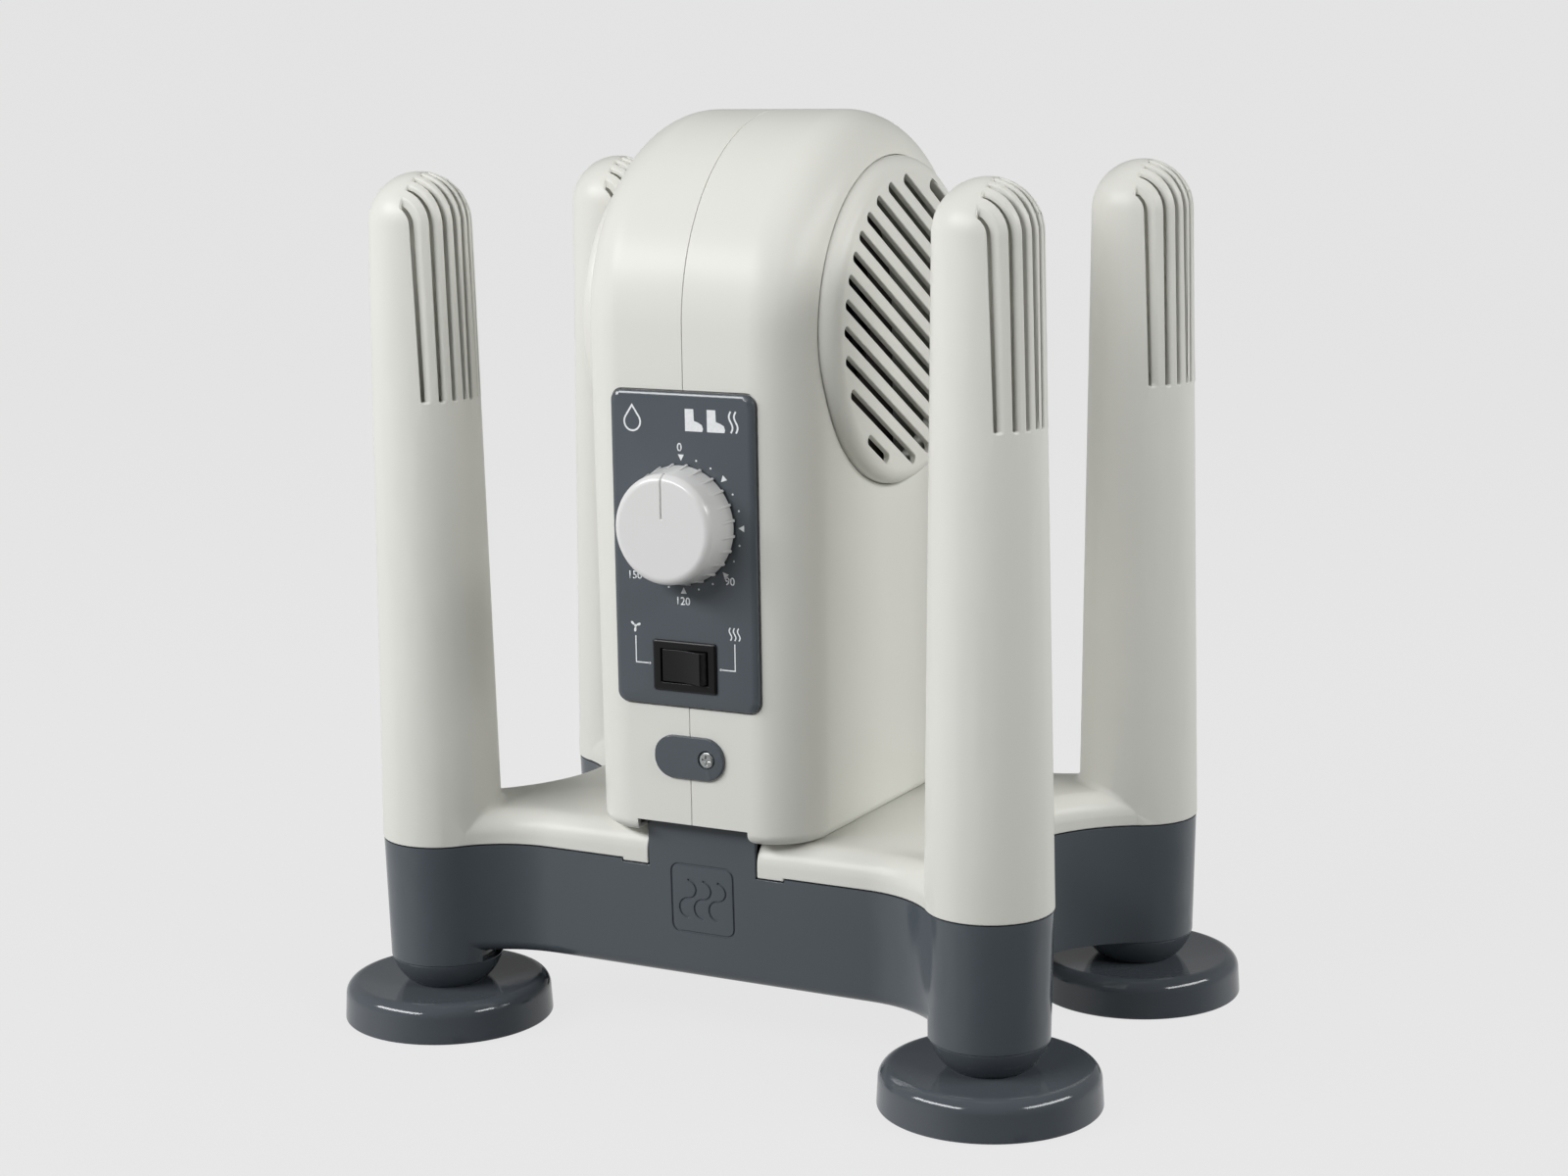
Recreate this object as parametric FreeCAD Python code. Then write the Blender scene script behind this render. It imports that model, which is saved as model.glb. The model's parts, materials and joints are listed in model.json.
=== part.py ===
import FreeCAD, Part

import math
import os

from FreeCAD import Vector

# Boot dryer with four blowing tubes around a fan and heater housing, in millimetres.
# +X is the user's right seen from the dial, +Y runs to the back and +Z is up.
# The origin is on the floor, midway between the four feet.

# Overall layout of the four columns, which carry the tubes above and the feet below.
COLUMN_X = 129.1
COLUMN_Y = 79.8
COLUMN_R = 25.4
CORNERS = {"front_left": (-1, -1), "front_right": (1, -1), "back_left": (-1, 1), "back_right": (1, 1)}

# Outline of the base: straight front and back walls, soft necks and waisted sides.
WALL_Y = 80.6
NECK_R = 45.0
WAIST_X = 105.5
BASE_DRAFT = 1.2

# Heights.
SKIRT_Z = 28.5
ARCH_Z = 33.0
SEAM_Z = 81.0
SEAM_GAP = 0.5
ARM_TOP_Z = 95.6
HOUSING_Z = 96.0
TAB_Z = 101.0

# Walls.
WALL = 2.5
FIT_GAP = 0.35
ARM_EDGE_R = 10.0

# Base tray and its fixings.
ARCH_HALF_X = 98.0
ARCH_EDGE_R = 6.0
ARCH_END_X = 112.0
COLUMN_END_R = 24.6
LEDGE = 7.0
STEP_HALF_X = 38.0
STEP_DROP = 1.2
TAB_HALF_X = 25.2
LIP_THICK = 1.6
LIP_RISE = 3.5
BADGE_W = 30.0
BADGE_Z = 67.5
BADGE_R = 4.0
BADGE_LINE = 0.9
BADGE_DEPTH = 0.6
BADGE_WAVE_R = 4.0
BADGE_WAVE_PITCH = 7.0
COLUMN_BOSS_R = 5.0
COLUMN_BOSS_Z = 60.0
COLUMN_BOSS_TOP_Z = 66.0
TRAY_SCREW_X = 62.0
TRAY_SCREW_Y = 62.0
TRAY_SCREW_R = 1.6
TRAY_SCREW_LENGTH = 16.0
TRAY_POST_R = 4.0

# Blowing tubes.
TUBE_FOOT_R = 25.7
TUBE_TOP_R = 21.45
DOME_Z = 343.6
TUBE_ROOT_R = 3.0
TUBE_WALL = 2.0
SLOT_PITCH = 4.65
SLOT_COUNT = 9
SLOT_W = 2.0
SLOT_LOW_Z = 271.0
SLOT_END_X = 4.0

# Feet.
FOOT_R = 45.1
FOOT_SIDE_Z = 11.6
FOOT_DISH_Z = 16.3
FOOT_EDGE_R = 5.6
FOOT_LOW_Z = 0.6
FOOT_BOSS_LOW_R = 14.0
FOOT_BOSS_R = 24.1
FOOT_PLUG_R = 21.0
FOOT_PLUG_Z = 35.0
FOOT_SCREW_R = 2.2
FOOT_WELL_R = 7.0
FOOT_WELL_Z = 9.0
PAD_OUTER_R = 40.0
PAD_INNER_R = 33.0
PAD_RECESS = 1.6

# Housing: an upright arch seen from the side.
HOUSING_FRONT_Y = -88.0
HOUSING_HALF_DEPTH = 85.1
HOUSING_SPRING_Z = 303.0
HOUSING_HALF_LOW = 51.3
HOUSING_HALF_HIGH = 53.4
HOUSING_EDGE_R = 24.0
HOUSING_FOOT_R = 5.0
HOUSING_SEAM = 0.1
NOTCH_R = 3.0
HOUSING_Y = HOUSING_FRONT_Y + HOUSING_HALF_DEPTH
HOUSING_TOP_Z = HOUSING_SPRING_Z + HOUSING_HALF_DEPTH
HOUSING_BOSS_R = 4.0
BOSS_SKIN = 0.5
HOUSING_SCREW_R = 1.7
HOUSING_SCREW_HEAD_R = 3.2
HOUSING_SCREW_HEAD_X = -38.0
HOUSING_SCREW_TIP_X = 14.0
HOUSING_BOSSES = [(-55.0, 113.0), (70.0, 113.0), (-40.0, 206.0), (70.0, 222.0)]

# Intake grille, a cushion-edged disc on each side.
GRILLE_Z = 302.0
GRILLE_R = 67.4
GRILLE_SEAT_X = 51.3
GRILLE_FACE_X = 59.5
GRILLE_EDGE_R = 6.5
GRILLE_FIELD_R = 58.9
GRILLE_BORE_R = 62.0
GRILLE_PITCH = 9.65
GRILLE_SLOTS = 13
GRILLE_SLOT_W = 4.2
GRILLE_SLOT_END_R = 1.9
GRILLE_TILT = -31.0

# Control panel with its dial and switch.
PANEL_W = 65.6
PANEL_LOW_Z = 151.2
PANEL_HIGH_Z = 279.4
PANEL_R = 4.5
PANEL_PROUD = 2.4
PANEL_BEVEL_W = 2.5
PANEL_BEVEL_DEPTH = 1.2
PANEL_SINK = 1.2
PANEL_GAP = 0.6
PANEL_FACE_Y = HOUSING_FRONT_Y - PANEL_PROUD
DIAL_Z = 226.5
KNOB_SKIRT_R = 24.8
KNOB_CAP_R = 22.0
KNOB_LENGTH = 16.0
KNOB_GAP = 0.8
KNOB_RIBS = 24
KNOB_RIB_W = 1.2
KNOB_RIB_RISE = 0.8
KNOB_RIB_LENGTH = 10.0
KNOB_CAP_H = 4.0
KNOB_CAP_EDGE_R = 3.5
POINTER_W = 0.8
POINTER_DEPTH = 0.7
POINTER_LOW = 4.5
KNOB_WALL_Y = 3.0
KNOB_HUB_R = 6.0
TIMER_SHAFT_R = 3.0
TIMER_BUSH_R = 5.0
TIMER_CASE_W = 42.0
TIMER_DEPTH = 34.0
TAG_LENGTH = 8.0
TAG_W = 6.4
TAG_THICK = 0.8
SWITCH_Z = 168.3
SWITCH_W = 29.4
SWITCH_H = 21.0
SWITCH_PROUD = 1.1
SWITCH_DEPTH = 22.0
SWITCH_LIP = 1.4
SWITCH_OPENING_X = 10.95
ROCKER_R = 11.2
ROCKER_H = 13.4
ROCKER_TILT = 9.0
ROCKER_PIN_R = 1.2
ROCKER_PIN_LENGTH = 1.4
ROCKER_PIVOT_Y = PANEL_FACE_Y + 3.4

# Lock plate that bridges the two housing halves below the panel.
LOCK_W = 32.5
LOCK_H = 18.0
LOCK_Z = 130.0
LOCK_PROUD = 1.7
LOCK_SCREW_X = 8.3
LOCK_SCREW_R = 1.7
LOCK_WELL_R = 3.9
LOCK_PEG_R = 2.5
LOCK_SEAT = 0.7

# Mains lead inlet in the back wall.
INLET_Z = 118.0
INLET_R = 6.0
INLET_BORE_R = 3.6

# Blower, on an axis across the housing.
SCROLL_R = 58.0
SCROLL_HALF_X = 23.0
SCROLL_WALL = 2.0
SCROLL_INLET_R = 38.0
IMPELLER_R = 45.0
IMPELLER_EYE_R = 34.0
IMPELLER_LEFT_X = -15.0
IMPELLER_RIGHT_X = 17.0
IMPELLER_BLADES = 28
SHAFT_R = 2.5
STATOR_LEFT_X = -43.0
STATOR_RIGHT_X = -29.0
STATOR_HALF = 26.0
WINDOW_Y = 19.0
WINDOW_HALF_Y = 2.5
WINDOW_HALF_Z = 12.0
COIL_Y = 23.75
COIL_HALF_Y = 6.0
COIL_HALF_Z = 11.0
COIL_PROUD = 3.0
ROTOR_R = 13.0
BRACKET_GAP = 1.2
BRACKET_THICK = 1.5
BRACKET_HALF_Y = 7.0
BEARING_LENGTH = 4.0
BEARING_R = 5.0
BRACKET_X = (STATOR_LEFT_X - 6.0, STATOR_RIGHT_X + BRACKET_GAP)
MOTOR_SCREW_Z = 21.0
MOTOR_SCREW_R = 1.5

# Duct from the blower to the base, with the heater in it.
DUCT_HALF_X = 23.0
DUCT_FRONT_Y = 3.0
DUCT_BACK_Y = 55.2
DUCT_LOW_Z = 86.0
DUCT_HIGH_Z = 232.0
HEATER_LOW_Z = 150.0
HEATER_HIGH_Z = 184.0
HEATER_FINS = 12
HEATER_GAP = 4.8
HEATER_BAR = 3.0
FIN_THICK = 0.8
CUTOUT_R = 8.0
CUTOUT_Z = HEATER_HIGH_Z + 20.0
TERMINAL_LOW_Z = 118.0
TERMINAL_HIGH_Z = 128.0
TERMINAL_WAYS = (26.0, 38.0, 50.0)
TERMINAL_WAY_R = 2.6

BIG = 500.0


def box(x0, x1, y0, y1, z0, z1):
    return Part.makeBox(x1 - x0, y1 - y0, z1 - z0, Vector(x0, y0, z0))


def side_box(side, near, far, y0, y1, z0, z1):
    """Box from near to far on the left (side -1) or the right (side 1) of the middle plane."""
    return box(min(side * near, side * far), max(side * near, side * far), y0, y1, z0, z1)


def rod_x(x0, x1, y, z, radius):
    return Part.makeCylinder(radius, x1 - x0, Vector(x0, y, z), Vector(1, 0, 0))


def rod_y(x, y0, y1, z, radius):
    return Part.makeCylinder(radius, y1 - y0, Vector(x, y0, z), Vector(0, 1, 0))


def rod_z(x, y, z0, z1, radius):
    return Part.makeCylinder(radius, z1 - z0, Vector(x, y, z0), Vector(0, 0, 1))


def join(shapes):
    return shapes[0].multiFuse(shapes[1:]).removeSplitter()


def polar(centre, radius, degrees):
    angle = math.radians(degrees)
    return (centre[0] + radius * math.cos(angle), centre[1] + radius * math.sin(angle))


def arc_edge(centre, radius, start, end):
    """Arc in a horizontal plane as three (x, y) points, from start to end in degrees."""
    return [polar(centre, radius, degrees) for degrees in (start, 0.5 * (start + end), end)]


def edge_through(points, to_vector):
    """A line through two plane points or an arc through three."""
    corners = [to_vector(*point) for point in points]
    if len(corners) == 2:
        return Part.LineSegment(*corners).toShape()
    return Part.Arc(*corners).toShape()


def outline(inset, z):
    """Closed outline of base and arms at height z, moved inwards by inset."""
    reach = COLUMN_R + NECK_R
    neck_y = WALL_Y + NECK_R
    neck_x = COLUMN_X - math.sqrt(reach**2 - (neck_y - COLUMN_Y) ** 2)
    spread = COLUMN_X - WAIST_X + COLUMN_R
    waist_x = COLUMN_X + (COLUMN_Y**2 - spread**2) / (2 * spread)
    waist_r = waist_x - WAIST_X
    neck_end = math.degrees(math.atan2(neck_y - COLUMN_Y, COLUMN_X - neck_x))
    waist_end = math.degrees(math.atan2(COLUMN_Y, waist_x - COLUMN_X))
    wall_y = -(WALL_Y - inset)
    column = (COLUMN_X, -COLUMN_Y)
    quadrant = [
        [(0, wall_y), (neck_x, wall_y)],
        arc_edge((neck_x, -neck_y), NECK_R + inset, 90, neck_end),
        arc_edge(column, COLUMN_R - inset, neck_end - 180, waist_end),
        arc_edge((waist_x, 0), waist_r + inset, 180 + waist_end, 180),
    ]
    edges = []
    for sx, sy in CORNERS.values():
        for points in quadrant:
            edges.append(edge_through(points, lambda x, y: Vector(sx * x, -sy * y, z)))
    return Part.Wire(Part.__sortEdges__(edges))


def outline_prism(inset, z0, z1):
    return Part.Face(outline(inset, z0)).extrude(Vector(0, 0, z1 - z0))


def fillet_where(shape, radius, wanted):
    """Round every edge whose two ends satisfy the wanted test."""
    edges = [edge for edge in shape.Edges if all(wanted(vertex.Point) for vertex in edge.Vertexes)]
    return shape.makeFillet(radius, edges)


def at_height(z):
    return lambda point: abs(point.z - z) < 0.01


def revolve_z(points, x=0.0, y=0.0):
    """Turn a closed half profile of (radius, z) about a vertical axis at x, y."""
    edges = []
    for points_of_edge in points:
        edges.append(edge_through(points_of_edge, lambda r, z: Vector(x + r, y, z)))
    face = Part.Face(Part.Wire(edges))
    return face.revolve(Vector(x, y, 0), Vector(0, 0, 1), 360)


def rounded_plate(width, low_z, high_z, y0, y1, radius, x=0.0):
    """Upright plate between the planes y0 and y1 with rounded corners."""
    plate = box(x - width / 2, x + width / 2, y0, y1, low_z, high_z)
    sides = [edge for edge in plate.Edges if abs(edge.tangentAt(edge.FirstParameter).y) > 0.9]
    return plate.makeFillet(radius, sides)


def screw(length, radius, head_r, head_h):
    """Pan head screw along +Z with its tip at the origin's far side and a crossed recess."""
    shank = rod_z(0, 0, 0, length, radius)
    head = rod_z(0, 0, -head_h, 0, head_r)
    head = fillet_where(head, head_h * 0.45, at_height(-head_h))
    recess_depth = head_h * 0.6
    slot = head_r * 0.16
    reach = head_r * 0.6
    cross = join([
        box(-reach, reach, -slot, slot, -head_h, -head_h + recess_depth),
        box(-slot, slot, -reach, reach, -head_h, -head_h + recess_depth),
    ])
    return join([shank, head]).cut(cross)


def placed(shape, position, direction):
    """Copy of a shape turned so that its +Z points along direction and moved to position."""
    result = shape.copy()
    result.Placement = FreeCAD.Placement(position, FreeCAD.Rotation(Vector(0, 0, 1), direction))
    return result


def column_at(corner):
    sx, sy = CORNERS[corner]
    return sx * COLUMN_X, sy * COLUMN_Y


# Feet


def make_foot(corner):
    """Round foot with a dished top and a domed boss that plugs into the open end of the column."""
    x, y = column_at(corner)
    rim_r = FOOT_R - 0.6 - FOOT_EDGE_R
    rim_z = FOOT_SIDE_Z + FOOT_EDGE_R
    dome_z = SKIRT_Z - 0.1
    diagonal = FOOT_EDGE_R * math.sqrt(0.5)
    disc = revolve_z([
        [(0, FOOT_LOW_Z), (FOOT_R - 1.0, FOOT_LOW_Z)],
        [(FOOT_R - 1.0, FOOT_LOW_Z), (FOOT_R - 0.3, FOOT_LOW_Z + 0.3), (FOOT_R, FOOT_LOW_Z + 1.0)],
        [(FOOT_R, FOOT_LOW_Z + 1.0), (rim_r + FOOT_EDGE_R, FOOT_SIDE_Z)],
        [(rim_r + FOOT_EDGE_R, FOOT_SIDE_Z), (rim_r + diagonal, FOOT_SIDE_Z + diagonal), (rim_r, rim_z)],
        [(rim_r, rim_z), (0.5 * rim_r, 0.5 * (rim_z + FOOT_DISH_Z) - 0.2), (0, FOOT_DISH_Z)],
        [(0, FOOT_DISH_Z), (0, FOOT_LOW_Z)],
    ], x, y)
    dome = revolve_z([
        [(0, FOOT_DISH_Z - 1.0), (FOOT_BOSS_LOW_R, FOOT_DISH_Z - 1.0)],
        [
            (FOOT_BOSS_LOW_R, FOOT_DISH_Z - 1.0),
            (0.5 * (FOOT_BOSS_LOW_R + FOOT_BOSS_R) + 1.6, 0.5 * (FOOT_DISH_Z + dome_z) - 1.2),
            (FOOT_BOSS_R, dome_z),
        ],
        [(FOOT_BOSS_R, dome_z), (FOOT_PLUG_R, dome_z)],
        [(FOOT_PLUG_R, dome_z), (FOOT_PLUG_R, FOOT_PLUG_Z)],
        [(FOOT_PLUG_R, FOOT_PLUG_Z), (0, FOOT_PLUG_Z)],
        [(0, FOOT_PLUG_Z), (0, FOOT_DISH_Z - 1.0)],
    ], x, y)
    recess = rod_z(x, y, 0, FOOT_LOW_Z + PAD_RECESS, PAD_OUTER_R)
    recess = recess.cut(rod_z(x, y, 0, FOOT_DISH_Z, PAD_INNER_R))
    screw_way = rod_z(x, y, 0, BIG, FOOT_SCREW_R + 0.3)
    screw_well = rod_z(x, y, 0, FOOT_WELL_Z, FOOT_WELL_R)
    return join([disc, dome]).cut([recess, screw_way, screw_well])


def make_foot_pad(corner):
    """Ring of soft rubber set into the underside of a foot, which the dryer stands on."""
    x, y = column_at(corner)
    ring = rod_z(x, y, 0, FOOT_LOW_Z + PAD_RECESS, PAD_OUTER_R - 0.1)
    return ring.cut(rod_z(x, y, -1, BIG, PAD_INNER_R + 0.1))


def make_foot_screws():
    """One screw up through each foot into the boss inside its column."""
    length = COLUMN_BOSS_TOP_Z - FOOT_WELL_Z - 6.0
    screws = []
    for corner in CORNERS:
        x, y = column_at(corner)
        shape = screw(length, FOOT_SCREW_R, 5.0, 3.4)
        screws.append(placed(shape, Vector(x, y, FOOT_WELL_Z), Vector(0, 0, 1)))
    return Part.makeCompound(screws)


# Base


def make_badge_groove():
    """Shallow frame engraved in the leaning front wall, with three rising air waves inside it."""
    front = -WALL_Y - 1.0
    back = -WALL_Y + BADGE_DEPTH
    low = BADGE_Z - BADGE_W / 2
    high = BADGE_Z + BADGE_W / 2
    outer = rounded_plate(BADGE_W, low, high, front, back, BADGE_R)
    inner_w = BADGE_W - 2 * BADGE_LINE
    inner = rounded_plate(inner_w, low + BADGE_LINE, high - BADGE_LINE, front, back, BADGE_R - BADGE_LINE)
    cuts = [outer.cut(inner)]
    for x in (-BADGE_WAVE_PITCH, 0, BADGE_WAVE_PITCH):
        lower = Vector(x, front, BADGE_Z - BADGE_WAVE_R)
        upper = Vector(x, front, BADGE_Z + BADGE_WAVE_R)
        for centre, side in ((lower, -1), (upper, 1)):
            ring = Part.makeCylinder(BADGE_WAVE_R + BADGE_LINE / 2, back - front, centre, Vector(0, 1, 0))
            ring = ring.cut(Part.makeCylinder(BADGE_WAVE_R - BADGE_LINE / 2, BIG, centre, Vector(0, 1, 0)))
            half = side_box(side, side * x, side * x + BIG, -BIG, BIG, -BIG, BIG)
            cuts.append(ring.common(half))
    lean = math.degrees(math.atan2(BASE_DRAFT, SEAM_Z - SKIRT_Z))
    for cut in cuts:
        cut.rotate(Vector(0, -WALL_Y, SEAM_Z), Vector(1, 0, 0), lean)
    return cuts


def make_base_tray():
    """Dark lower tray: waisted walls, four open columns, seam lip and the two upright tabs."""
    flare = BASE_DRAFT * (TAB_Z - SEAM_Z) / (SEAM_Z - SKIRT_Z)
    full = Part.makeLoft([outline(BASE_DRAFT, SKIRT_Z), outline(-flare, TAB_Z)], True, True)
    arched = full.cut(box(-BIG, BIG, -BIG, BIG, 0, ARCH_Z))
    arched = fillet_where(arched, ARCH_EDGE_R, at_height(ARCH_Z))
    outer = join([arched, full.common(make_walls_to_floor())])
    rings = [outline(BASE_DRAFT + WALL, SKIRT_Z - 1), outline(WALL - flare, TAB_Z + 1)]
    inner = Part.makeLoft(rings, True, True).cut(make_ledge(0))
    lip_outer = outline_prism(WALL + FIT_GAP, SEAM_Z - LIP_RISE, SEAM_Z + LIP_RISE)
    lip = lip_outer.cut(outline_prism(WALL + FIT_GAP + LIP_THICK, 0, BIG))
    lip = join([lip, make_lip_root()])
    lip = lip.cut([box(-TAB_HALF_X - 4, TAB_HALF_X + 4, -BIG, BIG, 0, BIG)])
    tray = outer.cut(inner)
    bosses = []
    for corner in CORNERS:
        x, y = column_at(corner)
        boss = rod_z(x, y, FOOT_PLUG_Z + 0.3, COLUMN_BOSS_TOP_Z, COLUMN_BOSS_R)
        web = box(x - COLUMN_R + 2.0, x + COLUMN_R - 2.0, y - 1.0, y + 1.0, FOOT_PLUG_Z + 0.3, COLUMN_BOSS_Z)
        bosses += [boss, web]
    pilots = [rod_z(x, y, 0, COLUMN_BOSS_TOP_Z - 4, FOOT_SCREW_R) for x, y in map(column_at, CORNERS)]
    tabs = box(-TAB_HALF_X, TAB_HALF_X, -BIG, BIG, 0, BIG)
    above = box(-BIG, BIG, -BIG, BIG, SEAM_Z, BIG).cut(tabs)
    step = box(-STEP_HALF_X - 0.3, STEP_HALF_X + 0.3, -BIG, BIG, SEAM_Z - STEP_DROP, BIG).cut(tabs)
    tray = tray.cut([above, step])
    return join([tray, lip] + bosses).cut(pilots + make_badge_groove())


def make_walls_to_floor():
    """Space of the walls that reach down to the skirt: the four columns and the two waisted sides."""
    top = ARCH_Z + ARCH_EDGE_R + 2.0
    columns = [rod_z(x, y, 0, top, COLUMN_END_R) for x, y in map(column_at, CORNERS)]
    sides = box(-BIG, BIG, -COLUMN_Y, COLUMN_Y, 0, top).cut(box(-ARCH_HALF_X, ARCH_HALF_X, -BIG, BIG, 0, BIG))
    return join([sides] + columns)


def make_ledge(gap):
    """Thick band along the front and back walls under the rounded lower edge, grown by gap."""
    band = box(-ARCH_END_X - gap, ARCH_END_X + gap, -BIG, BIG, ARCH_Z, ARCH_Z + LEDGE + gap)
    middle_y = COLUMN_Y - COLUMN_R
    middle = box(-BIG, BIG, -middle_y, middle_y, 0, BIG)
    plugs = [rod_z(x, y, 0, BIG, FOOT_PLUG_R + FIT_GAP) for x, y in map(column_at, CORNERS)]
    return band.cut([outline_prism(BASE_DRAFT + LEDGE + gap, 0, BIG), middle] + plugs)


def make_lip_root():
    """Ring that joins the raised lip to the inside of the wall, below the seam."""
    root = outline_prism(WALL - 0.3, SEAM_Z - 2 * LIP_RISE, SEAM_Z - 1.0)
    return root.cut(outline_prism(WALL + FIT_GAP + LIP_THICK, 0, BIG))


def make_bottom_cover():
    """Flat plate that closes the tray from below and clears the four columns."""
    plate = outline_prism(BASE_DRAFT + WALL + FIT_GAP, ARCH_Z + 1.0, ARCH_Z + 1.0 + WALL)
    plate = plate.cut(make_ledge(FIT_GAP))
    clear = [rod_z(x, y, 0, BIG, COLUMN_R + 1.0) for x, y in map(column_at, CORNERS)]
    holes = [rod_z(x, y, 0, BIG, TRAY_SCREW_R + 0.3) for x, y in tray_screw_places()]
    ribs = []
    for y in (-45.0, -15.0, 15.0, 45.0):
        ribs.append(box(-70, 70, y - 0.9, y + 0.9, ARCH_Z + WALL, ARCH_Z + WALL + 7.0))
    return join([plate] + ribs).cut(clear + holes)


def tray_screw_places():
    return [(sx * TRAY_SCREW_X, sy * TRAY_SCREW_Y) for sx, sy in CORNERS.values()]


def make_tray_screws():
    """Four screws up through the bottom cover into the posts of the arm covers."""
    screws = []
    for x, y in tray_screw_places():
        shape = screw(TRAY_SCREW_LENGTH, TRAY_SCREW_R, 4.0, 2.2)
        screws.append(placed(shape, Vector(x, y, ARCH_Z + 0.95), Vector(0, 0, 1)))
    return Part.makeCompound(screws)


# Arm covers with their blowing tubes


def tube_solid(corner, inset, low_z):
    """Tapered tube with a round end, shrunk by inset, from low_z upwards."""
    x, y = column_at(corner)
    slope = (TUBE_FOOT_R - TUBE_TOP_R) / (DOME_Z - SEAM_Z)
    low_r = TUBE_FOOT_R + slope * (SEAM_Z - low_z) - inset
    top_r = TUBE_TOP_R - inset
    diagonal = top_r * math.sqrt(0.5)
    return revolve_z([
        [(0, low_z), (low_r, low_z)],
        [(low_r, low_z), (top_r, DOME_Z)],
        [(top_r, DOME_Z), (diagonal, DOME_Z + diagonal), (0, DOME_Z + top_r)],
        [(0, DOME_Z + top_r), (0, low_z)],
    ], x, y)


def tube_slots(corner):
    """Blowing slots on the +X side of a tube, which run up and over its round end."""
    x, y = column_at(corner)
    slots = []
    for index in range(SLOT_COUNT):
        slot_y = y + (index - (SLOT_COUNT - 1) / 2) * SLOT_PITCH
        low = SLOT_LOW_Z + SLOT_W / 2
        slots.append(box(x + SLOT_END_X, x + BIG, slot_y - SLOT_W / 2, slot_y + SLOT_W / 2, low, BIG))
        slots.append(rod_x(x + SLOT_END_X, x + BIG, slot_y, low, SLOT_W / 2))
    return slots


def arm_prism(inset, low_z, top_z, edge_r):
    """Crowned slab over the base outline."""
    return fillet_where(outline_prism(inset, low_z, top_z), edge_r, at_height(top_z))


def tube_root_edges(shape, corners):
    """Circle arcs where the tubes stand on the flat top of an arm."""
    found = []
    for edge in shape.Edges:
        for x, y in map(column_at, corners):
            middle = edge.valueAt(0.5 * (edge.FirstParameter + edge.LastParameter))
            near_tube = math.hypot(middle.x - x, middle.y - y) < COLUMN_R + 1
            if near_tube and all(abs(vertex.Point.z - ARM_TOP_Z) < 0.01 for vertex in edge.Vertexes):
                found.append(edge)
    return found


def make_arm_cover(side):
    """One moulding of arm cover and two blowing tubes; side is -1 on the left and 1 on the right."""
    low = SEAM_Z + SEAM_GAP
    corners = [name for name, (sx, sy) in CORNERS.items() if sx == side]
    outer = join([arm_prism(0, low, ARM_TOP_Z, ARM_EDGE_R)] + [tube_solid(name, 0, low) for name in corners])
    outer = outer.makeFillet(TUBE_ROOT_R, tube_root_edges(outer, corners))
    step_low = SEAM_Z + SEAM_GAP - STEP_DROP
    step = outline_prism(0, step_low, low + 1).common(box(-STEP_HALF_X, STEP_HALF_X, -BIG, BIG, 0, BIG))
    inner_arm = arm_prism(WALL, low - 2 - STEP_DROP, ARM_TOP_Z - WALL, ARM_EDGE_R - WALL)
    cover = join([outer, step]).cut([inner_arm] + [tube_solid(name, TUBE_WALL, low - 1) for name in corners])
    cover = cover.common(side_box(side, TAB_HALF_X + 0.6, BIG, -BIG, BIG, 0, BIG))
    posts = []
    for x, y in tray_screw_places():
        if x * side > 0:
            posts.append(rod_z(x, y, ARCH_Z + 1.2 + WALL, ARM_TOP_Z - 1.0, TRAY_POST_R))
    pilots = []
    for x, y in tray_screw_places():
        pilots.append(rod_z(x, y, 0, ARCH_Z + TRAY_SCREW_LENGTH + 3.0, TRAY_SCREW_R))
    slots = []
    for name in corners:
        slots += tube_slots(name)
    return join([cover] + posts).cut(pilots + slots)


# Housing


def housing_solid(inset, low_z, foot_r):
    """Upright arch with rounded edges, shrunk by inset, standing on the plane low_z."""
    front = HOUSING_FRONT_Y + inset
    radius = HOUSING_HALF_DEPTH - inset
    back = HOUSING_Y + radius
    crown = (HOUSING_Y, HOUSING_SPRING_Z + radius)
    stretches = [
        [(front, low_z), (front, HOUSING_SPRING_Z)],
        [(front, HOUSING_SPRING_Z), crown, (back, HOUSING_SPRING_Z)],
        [(back, HOUSING_SPRING_Z), (back, low_z)],
        [(back, low_z), (front, low_z)],
    ]
    profile = Part.Wire([edge_through(points, lambda y, z: Vector(-BIG, y, z)) for points in stretches])
    arch = Part.Face(profile).extrude(Vector(2 * BIG, 0, 0))
    lean = (HOUSING_HALF_HIGH - HOUSING_HALF_LOW) / (HOUSING_TOP_Z - HOUSING_Z)
    half_low = HOUSING_HALF_LOW - inset + lean * (low_z - HOUSING_Z)
    half_high = HOUSING_HALF_HIGH - inset
    sides = Part.makePolygon([
        Vector(-half_low, -BIG, low_z),
        Vector(half_low, -BIG, low_z),
        Vector(half_high, -BIG, HOUSING_TOP_Z),
        Vector(-half_high, -BIG, HOUSING_TOP_Z),
        Vector(-half_low, -BIG, low_z),
    ])
    solid = arch.common(Part.Face(sides).extrude(Vector(0, 2 * BIG, 0)))
    rims = [edge for edge in solid.Edges if abs(edge.tangentAt(edge.FirstParameter).x) < 0.5
            and any(abs(vertex.Point.z - low_z) > 1 for vertex in edge.Vertexes)]
    solid = solid.makeFillet(HOUSING_EDGE_R - inset, rims)
    if foot_r:
        solid = fillet_where(solid, foot_r, at_height(low_z))
    return solid


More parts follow.
